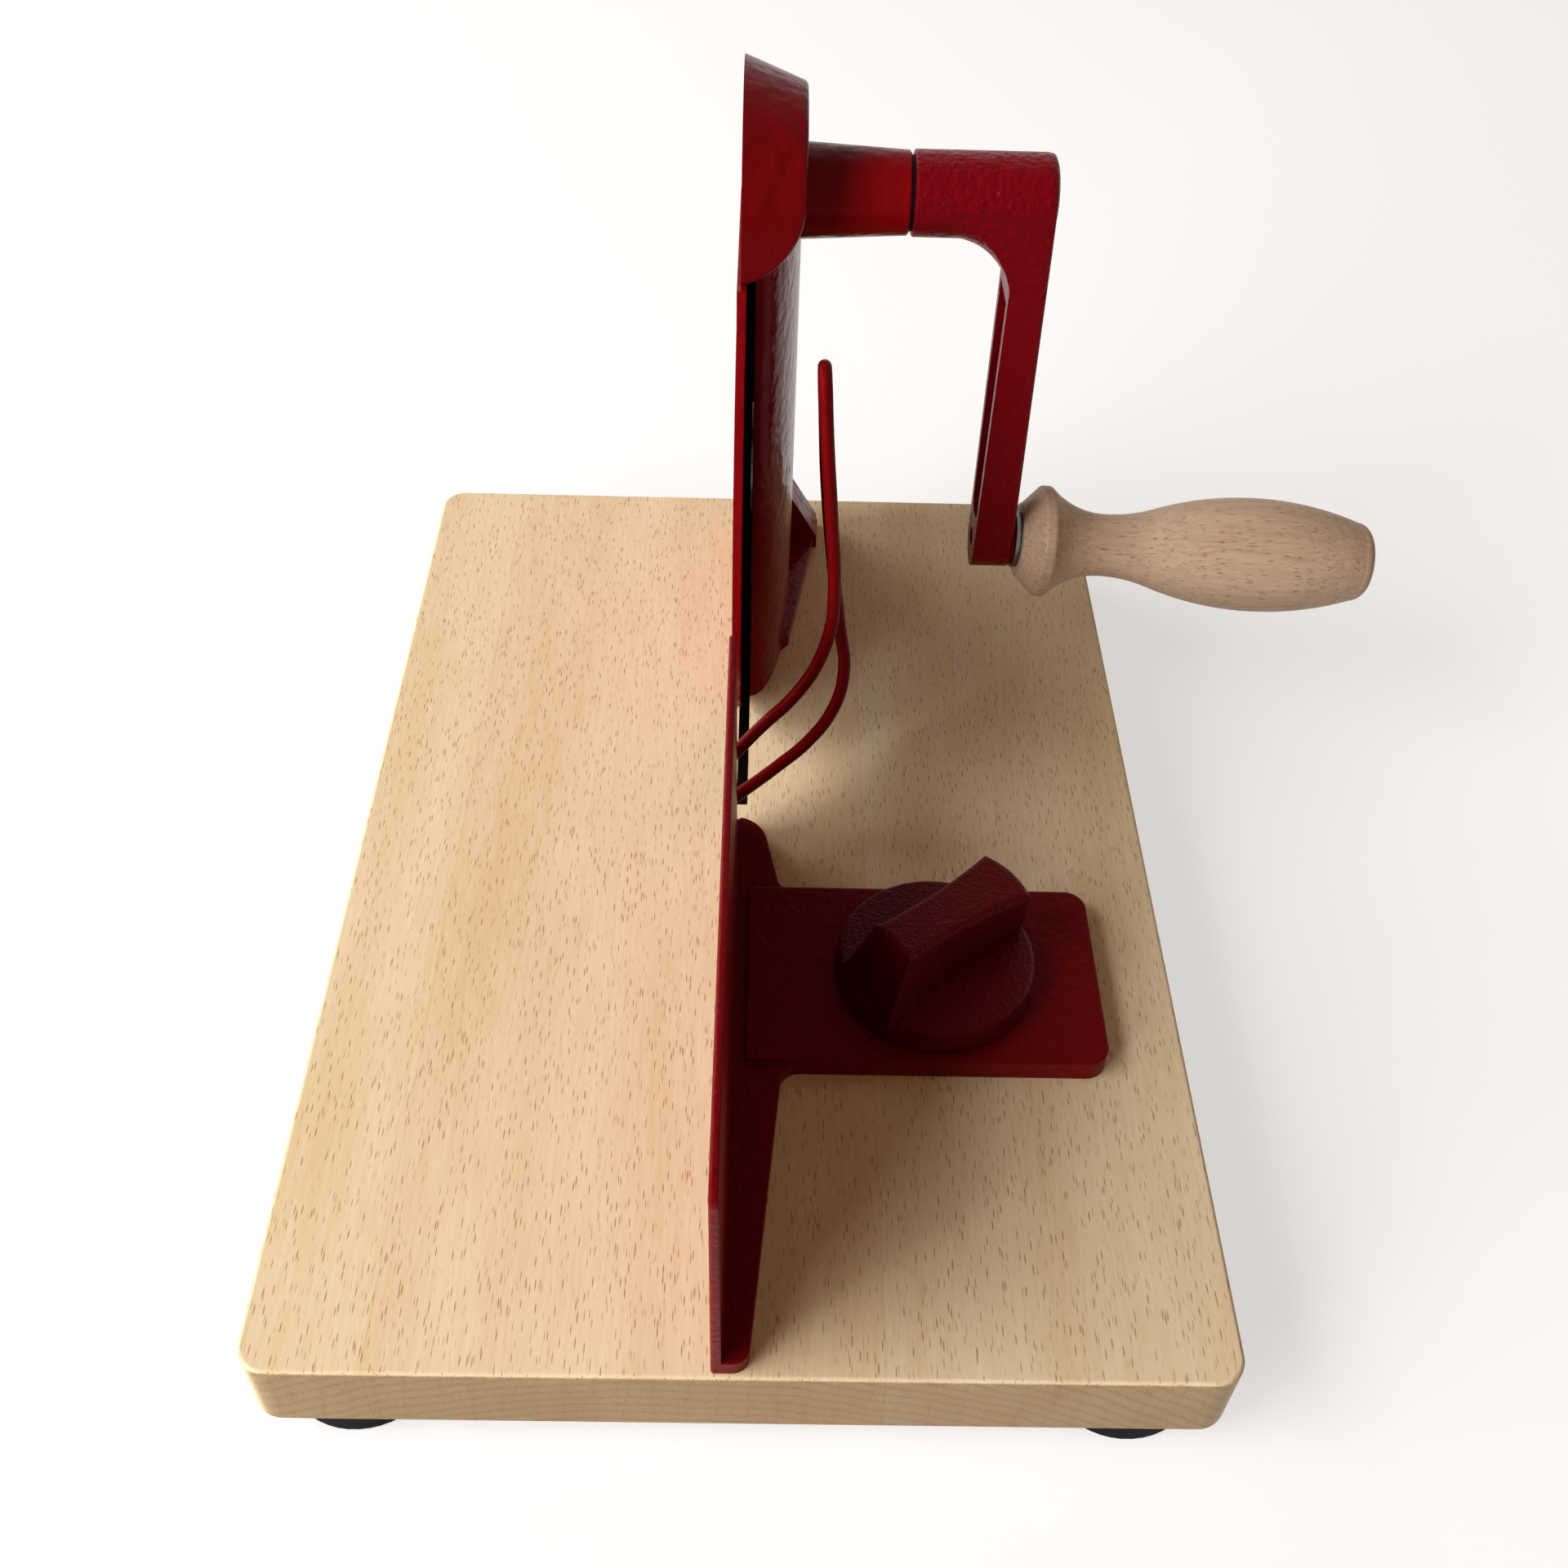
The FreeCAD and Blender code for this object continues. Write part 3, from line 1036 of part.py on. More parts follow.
# Clamp knob and its bolt
def make_knob():
    body = new_body("Knob")
    rad, disc, high = size("knob_rad"), size("knob_disc_high"), size("knob_high")
    profile = sketch_on(body, "XZ_Plane", "KnobDisc")
    draw(profile, (0, 0), (rad - 0.4, 0), (rad, 0.5), (rad - 0.6, disc - 1.6),
         ((rad - 1, disc - 0.5), (rad - 2.2, disc)), (0, disc))
    spin(body, "KnobDiscTurning", profile, "V_Axis")
    # Grip bar across the disc: hollowed flanks that spread at the tail, a blunt tip
    tail = size("knob_bar_tail")
    plans = []
    for name, level, tip, wide in (("BarFoot", disc - 1, 25.4, (11.4, 7.2, 8.2)),
                                   ("BarTop", high, size("knob_bar_tip"), (8, 7.2, 9.7))):
        plan = sketch_on(body, "XY_Plane", name, (0, 0, level))
        rear, waist, front = wide
        draw(plan, (-26.4, -rear), ((2, -waist), (tip - 2, -front)),
             ((tip, 0), (tip - 2, front)), ((2, waist), (-26.4, rear)))
        plans.append(plan)
    doc.recompute()
    bar = body.newObject("PartDesign::AdditiveLoft", "GripBar")
    bar.Profile = plans[0]
    bar.Sections = [plans[1]]
    doc.recompute()
    check(bar)
    tail_cut = sketch_on(body, "XZ_Plane", "TailSlope", (0, 0, -20))
    draw(tail_cut, (-tail, high + 1), (-tail, high), (-26.2, disc), (-32, disc),
         (-32, high + 1))
    pocket(body, "TailSlopeCut", tail_cut, 40)
    soften(body, "BarTopEdge", 2, lambda b: b.ZMin > high - 0.01)
    hole(body, "KnobRecess", "XY_Plane", (0, 0, -1), [(0, 0)], 13, 2.2)
    hole(body, "InsertBore", "XY_Plane", (0, 0, -1), [(0, 0)], 5.2 + FIT, 20)
    low = BOARD_TOP + size("arm_high") + 0.3
    turned = FreeCAD.Rotation(V(0, 0, 1), size("knob_bar_angle"))
    body.Placement = FreeCAD.Placement(V(size("stud_x"), size("stud_y"), low), turned)
    bind(body, Placement__Base__x="Sizes.stud_x", Placement__Base__y="Sizes.stud_y")
    keep(body, "thickness_knob")

    x, y, rad = size("stud_x"), size("stud_y"), size("stud_rad")
    insert = without("KnobInsert",
                     rod_z("InsertBar", 5.2, low + 0.9, low + 18.9, x, y),
                     rod_z("InsertThread", rad + 0.06, low, low + 17, x, y,
                           "Sizes.stud_rad + 0.06"))
    keep(insert, "knob_insert")
    washer = without("KnobWasher",
                     rod_z("KnobWasherDisc", 12.5, low - 0.2, low + 0.9, x, y),
                     rod_z("KnobWasherHole", rad + 0.1, low - 1, low + 2, x, y))
    keep(washer, "knob_washer")
    head_low = size("foot_high") + 1
    head_high = head_low + size("stud_head_high")
    corners = []
    for index in range(7):
        angle = math.radians(60 * index)
        corners.append(V(x + size("stud_head_rad") * math.cos(angle),
                         y + size("stud_head_rad") * math.sin(angle), head_low))
    head = Part.Face(Part.makePolygon(corners)).extrude(V(0, 0, size("stud_head_high")))
    shank = Part.makeCylinder(rad, low + 15 - head_high, V(x, y, head_high))
    keep(shaped("ClampBolt", head.fuse(shank).removeSplitter()), "clamp_bolt")
    plain = without("ClampWasher",
                    rod_z("ClampWasherDisc", 11, head_high, size("foot_high") + 8.4, x, y),
                    rod_z("ClampWasherHole", rad + FIT, head_high - 1, head_high + 4, x, y))
    keep(plain, "clamp_bolt_washer")


make_board()
make_feet()
make_frame()
make_frame_screws()
make_cover()
make_lid()
make_blade()
make_gears()
make_shaft()
make_crank()
make_grip()
make_stop_plate()
make_knob()
doc.recompute()

# Nothing is written unless every object is sound
faults = [o.Name for o in doc.Objects if "Invalid" in o.State or "Error" in o.State]
faults += [o.Label for o in nodes if o.Shape.isNull() or not o.Shape.isValid()]
if faults:
    raise ValueError("unsound objects: " + ", ".join(faults))
for piece in nodes:
    piece.Shape.exportStep(os.path.join("parts", piece.Label + ".step"))
    print(piece.Label, len(piece.Shape.Solids), round(piece.Shape.Volume, 1))
whole = Part.makeCompound([piece.Shape for piece in nodes]).BoundBox
print("box", round(whole.XMin, 2), round(whole.XMax, 2), round(whole.YMin, 2),
      round(whole.YMax, 2), round(whole.ZMin, 2), round(whole.ZMax, 2))
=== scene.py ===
"""Looks of a hand-cranked slicer on a beech board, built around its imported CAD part."""

from __future__ import annotations

import logging
import math
from dataclasses import dataclass, field
from enum import Enum

import bpy
from mathutils import Matrix, Vector

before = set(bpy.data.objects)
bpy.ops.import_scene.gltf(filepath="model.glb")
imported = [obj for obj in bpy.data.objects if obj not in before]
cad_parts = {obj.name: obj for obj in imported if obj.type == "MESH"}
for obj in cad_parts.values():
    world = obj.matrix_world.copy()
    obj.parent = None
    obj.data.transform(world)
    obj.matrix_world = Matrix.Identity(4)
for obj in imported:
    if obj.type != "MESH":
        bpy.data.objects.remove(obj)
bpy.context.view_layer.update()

LOG = logging.getLogger("slicer")
Node = bpy.types.Node
NodeTree = bpy.types.NodeTree
Material = bpy.types.Material
Socket = bpy.types.NodeSocket
Colour = tuple[float, float, float]
Place = tuple[float, float, float]


class Grain(Enum):
    """Direction in which the fibres of a wooden piece run."""

    ALONG_X = "x"
    ALONG_Y = "y"


class Texture(Enum):
    """Skin of a painted casting: heights of its waves, its grains and its wrinkles."""

    SMOOTH = (0.8, 0.12, 0.02)
    PLATE = (0.3, 0.3, 0.12)
    CAST = (0.5, 0.85, 0.2)
    WRINKLE = (0.1, 0.3, 0.62)


# Helpers for shader trees


def add(tree: NodeTree, kind: str, **values: object) -> Node:
    """Adds a node and sets its plain properties.

    Args:
        tree: The node tree.
        kind: The node's type name without its ShaderNode prefix.
        values: Properties of the node by name.

    Returns:
        The new node.
    """
    node = tree.nodes.new("ShaderNode" + kind)
    for name, value in values.items():
        setattr(node, name, value)
    return node


def link(tree: NodeTree, start: Socket, end: Socket) -> None:
    """Joins two sockets."""
    tree.links.new(start, end)


def math_node(tree: NodeTree, operation: str, first: Socket, second: Socket | float) -> Socket:
    """Adds a math node.

    Args:
        tree: The node tree.
        operation: Blender's name of the operation.
        first: Socket that feeds the first value.
        second: Socket or number for the second value.

    Returns:
        The node's output.
    """
    node = add(tree, "Math", operation=operation)
    link(tree, first, node.inputs[0])
    if isinstance(second, (int, float)):
        node.inputs[1].default_value = second
    else:
        link(tree, second, node.inputs[1])
    return node.outputs[0]


def glue(tree: NodeTree, first: Socket, second: Socket) -> Socket:
    """Sum of two values."""
    return math_node(tree, "ADD", first, second)


def weigh(tree: NodeTree, value: Socket, weight: Socket | float) -> Socket:
    """A value times a number or another value."""
    return math_node(tree, "MULTIPLY", value, weight)


def away_from(tree: NodeTree, value: Socket, middle: float) -> Socket:
    """Distance between a value and a number."""
    return math_node(tree, "ABSOLUTE", math_node(tree, "SUBTRACT", value, middle), 0)


def ramp(tree: NodeTree, value: Socket, low: float, high: float,
         first: float = 0.0, last: float = 1.0) -> Socket:
    """Maps one range of a value to another, and holds it at the ends.

    Args:
        tree: The node tree.
        value: The value.
        low: Value that gives the first result.
        high: Value that gives the last result.
        first: Result at the low value.
        last: Result at the high value.

    Returns:
        The mapped value.
    """
    node = add(tree, "MapRange", clamp=True)
    link(tree, value, node.inputs["Value"])
    ends = {"From Min": low, "From Max": high, "To Min": first, "To Max": last}
    for name, end in ends.items():
        node.inputs[name].default_value = end
    return node.outputs["Result"]


def noise(tree: NodeTree, place: Socket, scale: float, detail: float) -> Socket:
    """Noise over a piece.

    Args:
        tree: The node tree.
        place: Coordinates that the noise is read at, in metres.
        scale: Cells of the noise in a metre.
        detail: Number of finer layers in it.

    Returns:
        The noise, from 0 to 1.
    """
    node = add(tree, "TexNoise")
    link(tree, place, node.inputs["Vector"])
    node.inputs["Scale"].default_value = scale
    node.inputs["Detail"].default_value = detail
    return node.outputs["Fac"]


def here(tree: NodeTree) -> Socket:
    """Object coordinates of the surface, in metres."""
    return add(tree, "TexCoord").outputs["Object"]


def stretched(tree: NodeTree, scale: Place, turn: Place = (0.0, 0.0, 0.0),
              shift: Place = (0.0, 0.0, 0.0)) -> Socket:
    """Object coordinates, stretched, then turned, then shifted.

    Args:
        tree: The node tree.
        scale: Factor along each axis.
        turn: Turn about each axis, in radians.
        shift: Shift along each axis, in metres.

    Returns:
        The coordinates.
    """
    mapping = add(tree, "Mapping")
    mapping.inputs["Scale"].default_value = scale
    mapping.inputs["Rotation"].default_value = turn
    mapping.inputs["Location"].default_value = shift
    link(tree, here(tree), mapping.inputs["Vector"])
    return mapping.outputs["Vector"]


def by_axis(tree: NodeTree, vector: Socket) -> bpy.types.NodeOutputs:
    """Splits a vector.

    Args:
        tree: The node tree.
        vector: The vector.

    Returns:
        Its sockets X, Y and Z.
    """
    split = add(tree, "SeparateXYZ")
    link(tree, vector, split.inputs[0])
    return split.outputs


def blend_colours(tree: NodeTree, factor: Socket, low: Socket | Colour, high: Socket | Colour,
                  blend: str = "MIX") -> Socket:
    """Mixes two colours by a factor that changes over the surface.

    Args:
        tree: The node tree.
        factor: Socket of the mixing factor.
        low: Colour at factor 0.
        high: Colour that is mixed in at factor 1.
        blend: Blender's name of the way they are mixed.

    Returns:
        The mixed colour.
    """
    node = add(tree, "Mix", data_type="RGBA", blend_type=blend)
    link(tree, factor, node.inputs["Factor"])
    ends = [socket for socket in node.inputs if socket.type == "RGBA"]
    for end, value in zip(ends, (low, high)):
        if isinstance(value, tuple):
            end.default_value = (*value, 1.0)
        else:
            link(tree, value, end)
    return next(socket for socket in node.outputs if socket.type == "RGBA")


def multiplied(tree: NodeTree, factor: Socket, colour: Socket, tint: Colour) -> Socket:
    """A colour, multiplied by a tint where the factor is 1."""
    return blend_colours(tree, factor, colour, tint, "MULTIPLY")


def seen(tree: NodeTree) -> Socket:
    """Tells the rays that see a surface from those that light others.

    Args:
        tree: The node tree.

    Returns:
        1 for rays of the camera, of mirrors and through glass, 0 for all others.
    """
    path = add(tree, "LightPath")
    mirrors = math_node(tree, "MAXIMUM", path.outputs["Is Camera Ray"],
                        path.outputs["Is Glossy Ray"])
    return math_node(tree, "MAXIMUM", mirrors, path.outputs["Is Transmission Ray"])


def new_material(name: str) -> tuple[Material, NodeTree, Node]:
    """Makes a plain node material.

    Args:
        name: Name of the material.

    Returns:
        The material, its tree and its Principled shader.
    """
    material = bpy.data.materials.new(name)
    material.use_nodes = True
    tree = material.node_tree
    shader = next(node for node in tree.nodes if node.type == "BSDF_PRINCIPLED")
    return material, tree, shader


# Finishes of paint, metal, rubber and plastic


class Skin:
    """Node group with the uneven skin of a painted casting, used by every red paint."""

    name = "casting_skin"
    # Scale and detail of the noise behind each height
    layers = {"Waves": (210, 1.5), "Grains": (520, 1.5), "Wrinkles": (1250, 2)}

    @classmethod
    def build(cls) -> NodeTree:
        """Makes the group once.

        Returns:
            The group, with inputs Waves, Grains and Wrinkles and the output Height.
        """
        if cls.name in bpy.data.node_groups:
            return bpy.data.node_groups[cls.name]
        group = bpy.data.node_groups.new(cls.name, "ShaderNodeTree")
        for label in cls.layers:
            group.interface.new_socket(name=label, in_out="INPUT",
                                       socket_type="NodeSocketFloat")
        group.interface.new_socket(name="Height", in_out="OUTPUT",
                                   socket_type="NodeSocketFloat")
        start = group.nodes.new("NodeGroupInput")
        end = group.nodes.new("NodeGroupOutput")
        place = stretched(group, (1, 1, 1))
        waves, grains, wrinkles = [
            weigh(group, noise(group, place, scale, detail), start.outputs[label])
            for label, (scale, detail) in cls.layers.items()]
        link(group, glue(group, glue(group, waves, grains), wrinkles), end.inputs["Height"])
        return group


@dataclass(frozen=True)
class Paint:
    """Red enamel on a casting.

    Args:
        name: Name of the material.
        colour: Base colour.
        roughness: Roughness of the paint.
        coat: Weight of the gloss on top.
        texture: How coarse the skin is.
        edge: Radius to which the edges look rounded, in metres.
        shine: Level of the reflection where light falls straight on it.
        tint: Colour of that reflection.
        coat_roughness: Roughness of the gloss on top.
        relief: Depth that a skin height of 1 stands for, in metres.
        edge_samples: Samples that round the edges.
    """

    name: str
    colour: Colour
    roughness: float
    coat: float
    texture: Texture
    edge: float
    shine: float = 0.2
    tint: Colour = (1.0, 0.1, 0.14)
    coat_roughness: float = 0.12
    relief: float = 0.0008
    edge_samples: int = 6

    def build(self) -> Material:
        """Makes the material.

        Returns:
            The material.
        """
        material, tree, shader = new_material(self.name)
        shader.inputs["Base Color"].default_value = (*self.colour, 1.0)
        shader.inputs["Roughness"].default_value = self.roughness
        shader.inputs["Specular IOR Level"].default_value = self.shine
        shader.inputs["Specular Tint"].default_value = (*self.tint, 1.0)
        shader.inputs["Coat Weight"].default_value = self.coat
        shader.inputs["Coat Roughness"].default_value = self.coat_roughness
        skin = add(tree, "Group", node_tree=Skin.build())
        for label, height in zip(Skin.layers, self.texture.value):
            skin.inputs[label].default_value = height
        bump = add(tree, "Bump")
        bump.inputs["Distance"].default_value = self.relief
        link(tree, skin.outputs["Height"], bump.inputs["Height"])
        rounded = add(tree, "Bevel", samples=self.edge_samples)
        rounded.inputs["Radius"].default_value = self.edge
        link(tree, rounded.outputs["Normal"], bump.inputs["Normal"])
        link(tree, bump.outputs["Normal"], shader.inputs["Normal"])
        return material


@dataclass(frozen=True)
class Metal:
    """Plain steel or bronze.

    Args:
        name: Name of the material.
        colour: Base colour.
        roughness: Middle of its roughness.
        spread: How far the roughness strays to either side of its middle.
        blotches: Cells of the roughness in a metre.
        blotch_detail: Number of finer layers in them.
    """

    name: str
    colour: Colour
    roughness: float
    spread: float = 0.06
    blotches: float = 260
    blotch_detail: float = 3

    def build(self) -> Material:
        """Makes the material, with its roughness a little uneven.

        Returns:
            The material.
        """
        material, tree, shader = new_material(self.name)
        shader.inputs["Base Color"].default_value = (*self.colour, 1.0)
        shader.inputs["Metallic"].default_value = 1.0
        uneven = noise(tree, stretched(tree, (1, 1, 1)), self.blotches, self.blotch_detail)
        roughness = ramp(tree, uneven, 0.0, 1.0,
                         self.roughness - self.spread, self.roughness + self.spread)
        link(tree, roughness, shader.inputs["Roughness"])
        return material


@dataclass(frozen=True)
class Black:
    """Plain black: rubber, plastic and the blade, whose black is partly its coating and partly
    painted shade.

    Args:
        name: Name of the material.
        colour: Base colour.
        roughness: Roughness of the surface.
        shine: Level of the reflection where light falls straight on it.
    """

    name: str
    colour: Colour
    roughness: float
    shine: float

    def build(self) -> Material:
        """Makes the material.

        Returns:
            The material.
        """
        material, _, shader = new_material(self.name)
        shader.inputs["Base Color"].default_value = (*self.colour, 1.0)
        shader.inputs["Roughness"].default_value = self.roughness
        shader.inputs["Specular IOR Level"].default_value = self.shine
        return material


# Finishes of beech


@dataclass(frozen=True)
class Streaks:
    """Noise that is drawn out along the fibres of the wood.

    Args:
        length: Scale along the fibres, where across them it is 1.
        scale: Cells of the noise in a metre, across the fibres.
        detail: Number of finer layers in it.
        weight: Share of the streaks in the shade of the wood.
    """

    length: float
    scale: float
    detail: float
    weight: float


@dataclass(frozen=True)
class Lines:
    """Thin lines on the crests of a wave.

    Args:
        scale: Scale of the wave.
        distortion: How much the lines wander.
        start: Height of the wave at which a line begins to show.
        weight: Strength of the lines.
        detail_scale: Scale of their wander.
    """

    scale: float
    distortion: float
    start: float
    weight: float
    detail_scale: float = 1.0

    def draw(self, tree: NodeTree, place: Socket, **shape: str) -> Socket:
        """Draws the lines.

        Args:
            tree: The node tree.
            place: Coordinates that the wave is read at.
            shape: Kind and direction of the wave, as Blender names them.

        Returns:
            Strength of the lines.
        """
        wave = add(tree, "TexWave", **shape)
        link(tree, place, wave.inputs["Vector"])
        wave.inputs["Scale"].default_value = self.scale
        wave.inputs["Distortion"].default_value = self.distortion
        wave.inputs["Detail Scale"].default_value = self.detail_scale
        return weigh(tree, ramp(tree, wave.outputs["Fac"], self.start, 1.0), self.weight)


@dataclass(frozen=True)
class Lamella:
    """Wood of the board past one glue joint.

    Args:
        joint: Place of the joint along X, in metres.
        tint: Colour factor of the wood past the joint.
        line_tint: Colour factor of the glue line.
        line_fade: Distances from the joint at which the line starts and is full, in metres.
    """

    joint: float
    tint: Colour
    line_tint: Colour = (0.93, 0.9, 0.86)
    line_fade: tuple[float, float] = (0.0004, 0.0001)

    def change(self, tree: NodeTree, colour: Socket) -> Socket:
        """Gives the wood past the joint a tint of its own.

        Args:
            tree: The node tree.
            colour: Colour of the wood.

        Returns:
            The tinted colour, with the glue line.
        """
        across = by_axis(tree, here(tree))["X"]
        past = math_node(tree, "GREATER_THAN", across, self.joint)
        line = ramp(tree, away_from(tree, across, self.joint), *self.line_fade)
        return multiplied(tree, line, multiplied(tree, past, colour, self.tint), self.line_tint)


@dataclass(frozen=True)
class CutEnds:
    """Cut ends of the board: darker, with growth rings and slanted rays.

    Args:
        tint: Colour factor of the ends.
        line_tint: Colour factor of the rings and rays.
        rings: The growth rings.
        ring_shift: Shift of the coordinates that the rings are centred on, in metres.
        rays: The rays.
        ray_length: Scale along the rays, where across them it is 1.
        ray_lean: Lean of the rays, in degrees.
        facing: Squares of the slope towards Y at which an end starts and is full.
    """

    tint: Colour = (0.46, 0.39, 0.31)
    line_tint: Colour = (0.74, 0.7, 0.66)
    rings: Lines = Lines(scale=82, distortion=4.5, start=0.55, weight=0.5, detail_scale=0.6)
    ring_shift: Place = (0.06, 0.0, 0.16)
    rays: Lines = Lines(scale=47, distortion=3.0, start=0.8, weight=0.16)
    ray_length: float = 0.12
    ray_lean: float = -24
    facing: tuple[float, float] = (0.5, 0.9)

    def change(self, tree: NodeTree, colour: Socket) -> Socket:
        """Darkens the wood where it is cut across its fibres.

        Args:
            tree: The node tree.
            colour: Colour of the wood.

        Returns:
            The colour, changed where the surface faces along the fibres.
        """
        round_place = stretched(tree, (1, 0, 1), shift=self.ring_shift)
        rings = self.rings.draw(tree, round_place, wave_type="RINGS", rings_direction="Y")
        slanted = stretched(tree, (1, 0, self.ray_length),
                            turn=(0.0, math.radians(self.ray_lean), 0.0))
        rays = self.rays.draw(tree, slanted, wave_type="BANDS", bands_direction="X")
        slope = by_axis(tree, add(tree, "NewGeometry").outputs["True Normal"])["Y"]
        end = ramp(tree, math_node(tree, "POWER", slope, 2.0), *self.facing)
        lines = weigh(tree, glue(tree, rings, rays), end)
        return multiplied(tree, lines, multiplied(tree, end, colour, self.tint), self.line_tint)


@dataclass(frozen=True)
class PaintedGrooveShade:
    """Painted shade inside the groove that the blade runs in: the wood there is darkened to
    stand for the shade that falls in it.

    Args:
        space: Middle and reach of the groove along X, Y and Z, in metres.
        fade: Heights at which the painted shade starts and is full, in metres.
        tint: Colour factor of the painted shade down in the groove.
    """

    space: tuple[tuple[float, float], ...] = ((-0.0439, 0.0019), (0.0685, 0.0575),
                                              (0.026, 0.0065))
    fade: tuple[float, float] = (0.0318, 0.0305)
    tint: Colour = (0.12, 0.09, 0.07)

    def change(self, tree: NodeTree, colour: Socket) -> Socket:
        """Paints shade into the wood inside the groove.

        Args:
            tree: The node tree.
            colour: Colour of the wood.

        Returns:
            The colour, with painted shade nearly black down in the groove.
        """
        place = by_axis(tree, here(tree))
        inside = ramp(tree, place["Z"], *self.fade)
        for along, (middle, reach) in zip(place, self.space):
            within = math_node(tree, "LESS_THAN", away_from(tree, along, middle), reach)
            inside = weigh(tree, inside, within)
        # The tint paints shade into the wood down in the groove; it is not the wood's own
        # colour.
        return multiplied(tree, inside, colour, self.tint)


@dataclass(frozen=True)
class Beech:
    """Beech with a soft figure and short dark flecks.

    Args:
        name: Name of the material.
        light: Colour of the early wood.
        dark: Colour of the late wood.
        grain: Direction of the fibres.
        fleck_scale: Cells of the flecks in a metre, across the fibres.
        traits: What the piece has besides, in the order in which it is put on.
        figure: Broad streaks of the wood.
        fibres: Fine streaks of the wood.
        shades: Shades of the streaks that are fully light and fully dark.
        fleck_length: Scale of the flecks along the fibres.
        fleck_fade: Distances from its middle at which a fleck starts and is full, in cells.
        fleck_chance: Chances at which a cell's fleck starts to show and is full.
        fleck_tint: Factor from the late wood's colour to a fleck's.
        fleck_weight: Strength of the flecks' colour.
        dent_strength: Strength of the flecks' dents.
        dent_depth: Depth of the dents, in metres.
        roughness: Roughness of the wood.
        shine: Level of the reflection where light falls straight on it.
    """

    name: str
    light: Colour
    dark: Colour
    grain: Grain
    fleck_scale: float
    traits: tuple[Lamella | CutEnds | PaintedGrooveShade, ...] = ()
    figure: Streaks = Streaks(length=0.16, scale=48, detail=3, weight=0.62)
    fibres: Streaks = Streaks(length=0.07, scale=900, detail=2, weight=0.38)
    shades: tuple[float, float] = (0.36, 0.66)
    fleck_length: float = 0.115
    fleck_fade: tuple[float, float] = (0.36, 0.19)
    fleck_chance: tuple[float, float] = (0.2, 0.9)
    fleck_tint: Colour = (0.46, 0.29, 0.13)
    fleck_weight: float = 0.8
    dent_strength: float = 0.2
    dent_depth: float = 0.0003
    roughness: float = 0.5
    shine: float = 0.3

    def build(self) -> Material:
        """Makes the material.

        Returns:
            The material.
        """
        material, tree, shader = new_material(self.name)
        flecks = self.flecks(tree)
        colour = self.figured(tree, flecks)
        for trait in self.traits:
            colour = trait.change(tree, colour)
        link(tree, colour, shader.inputs["Base Color"])
        shader.inputs["Roughness"].default_value = self.roughness
        shader.inputs["Specular IOR Level"].default_value = self.shine
        dents = add(tree, "Bump", invert=True)
        dents.inputs["Strength"].default_value = self.dent_strength
        dents.inputs["Distance"].default_value = self.dent_depth
        link(tree, flecks, dents.inputs["Height"])
        link(tree, dents.outputs["Normal"], shader.inputs["Normal"])
        return material

    def along(self, tree: NodeTree, length: float) -> Socket:
        """Object coordinates, shortened along the fibres.

        Args:
            tree: The node tree.
            length: Scale along the fibres, where across them it is 1.

        Returns:
            The coordinates.
        """
        scales = {Grain.ALONG_X: (length, 1, 1), Grain.ALONG_Y: (1, length, 1)}
        return stretched(tree, scales[self.grain])

    def flecks(self, tree: NodeTree) -> Socket:
        """Short dark strokes of the rays, some fainter than others.

        Args:
            tree: The node tree.

        Returns:
            Strength of the flecks.
        """
        cells = add(tree, "TexVoronoi", feature="F1")
        cells.inputs["Scale"].default_value = self.fleck_scale
        link(tree, self.along(tree, self.fleck_length), cells.inputs["Vector"])
        mark = ramp(tree, cells.outputs["Distance"], *self.fleck_fade)
        chance = by_axis(tree, cells.outputs["Color"])["X"]
        return weigh(tree, mark, ramp(tree, chance, *self.fleck_chance))

    def figured(self, tree: NodeTree, flecks: Socket) -> Socket:
        """Lays the streaks and the flecks over the wood.

        Args:
            tree: The node tree.
            flecks: Strength of the flecks.

        Returns:
            The colour of the wood.
        """
        figure, fibres = [
            weigh(tree, noise(tree, self.along(tree, streaks.length), streaks.scale,
                              streaks.detail), streaks.weight)
            for streaks in (self.figure, self.fibres)]
        shade = ramp(tree, glue(tree, figure, fibres), *self.shades)
        plain = blend_colours(tree, shade, self.light, self.dark)
        deep = tuple(part * factor for part, factor in zip(self.dark, self.fleck_tint))
        return blend_colours(tree, weigh(tree, flecks, self.fleck_weight), plain, deep)


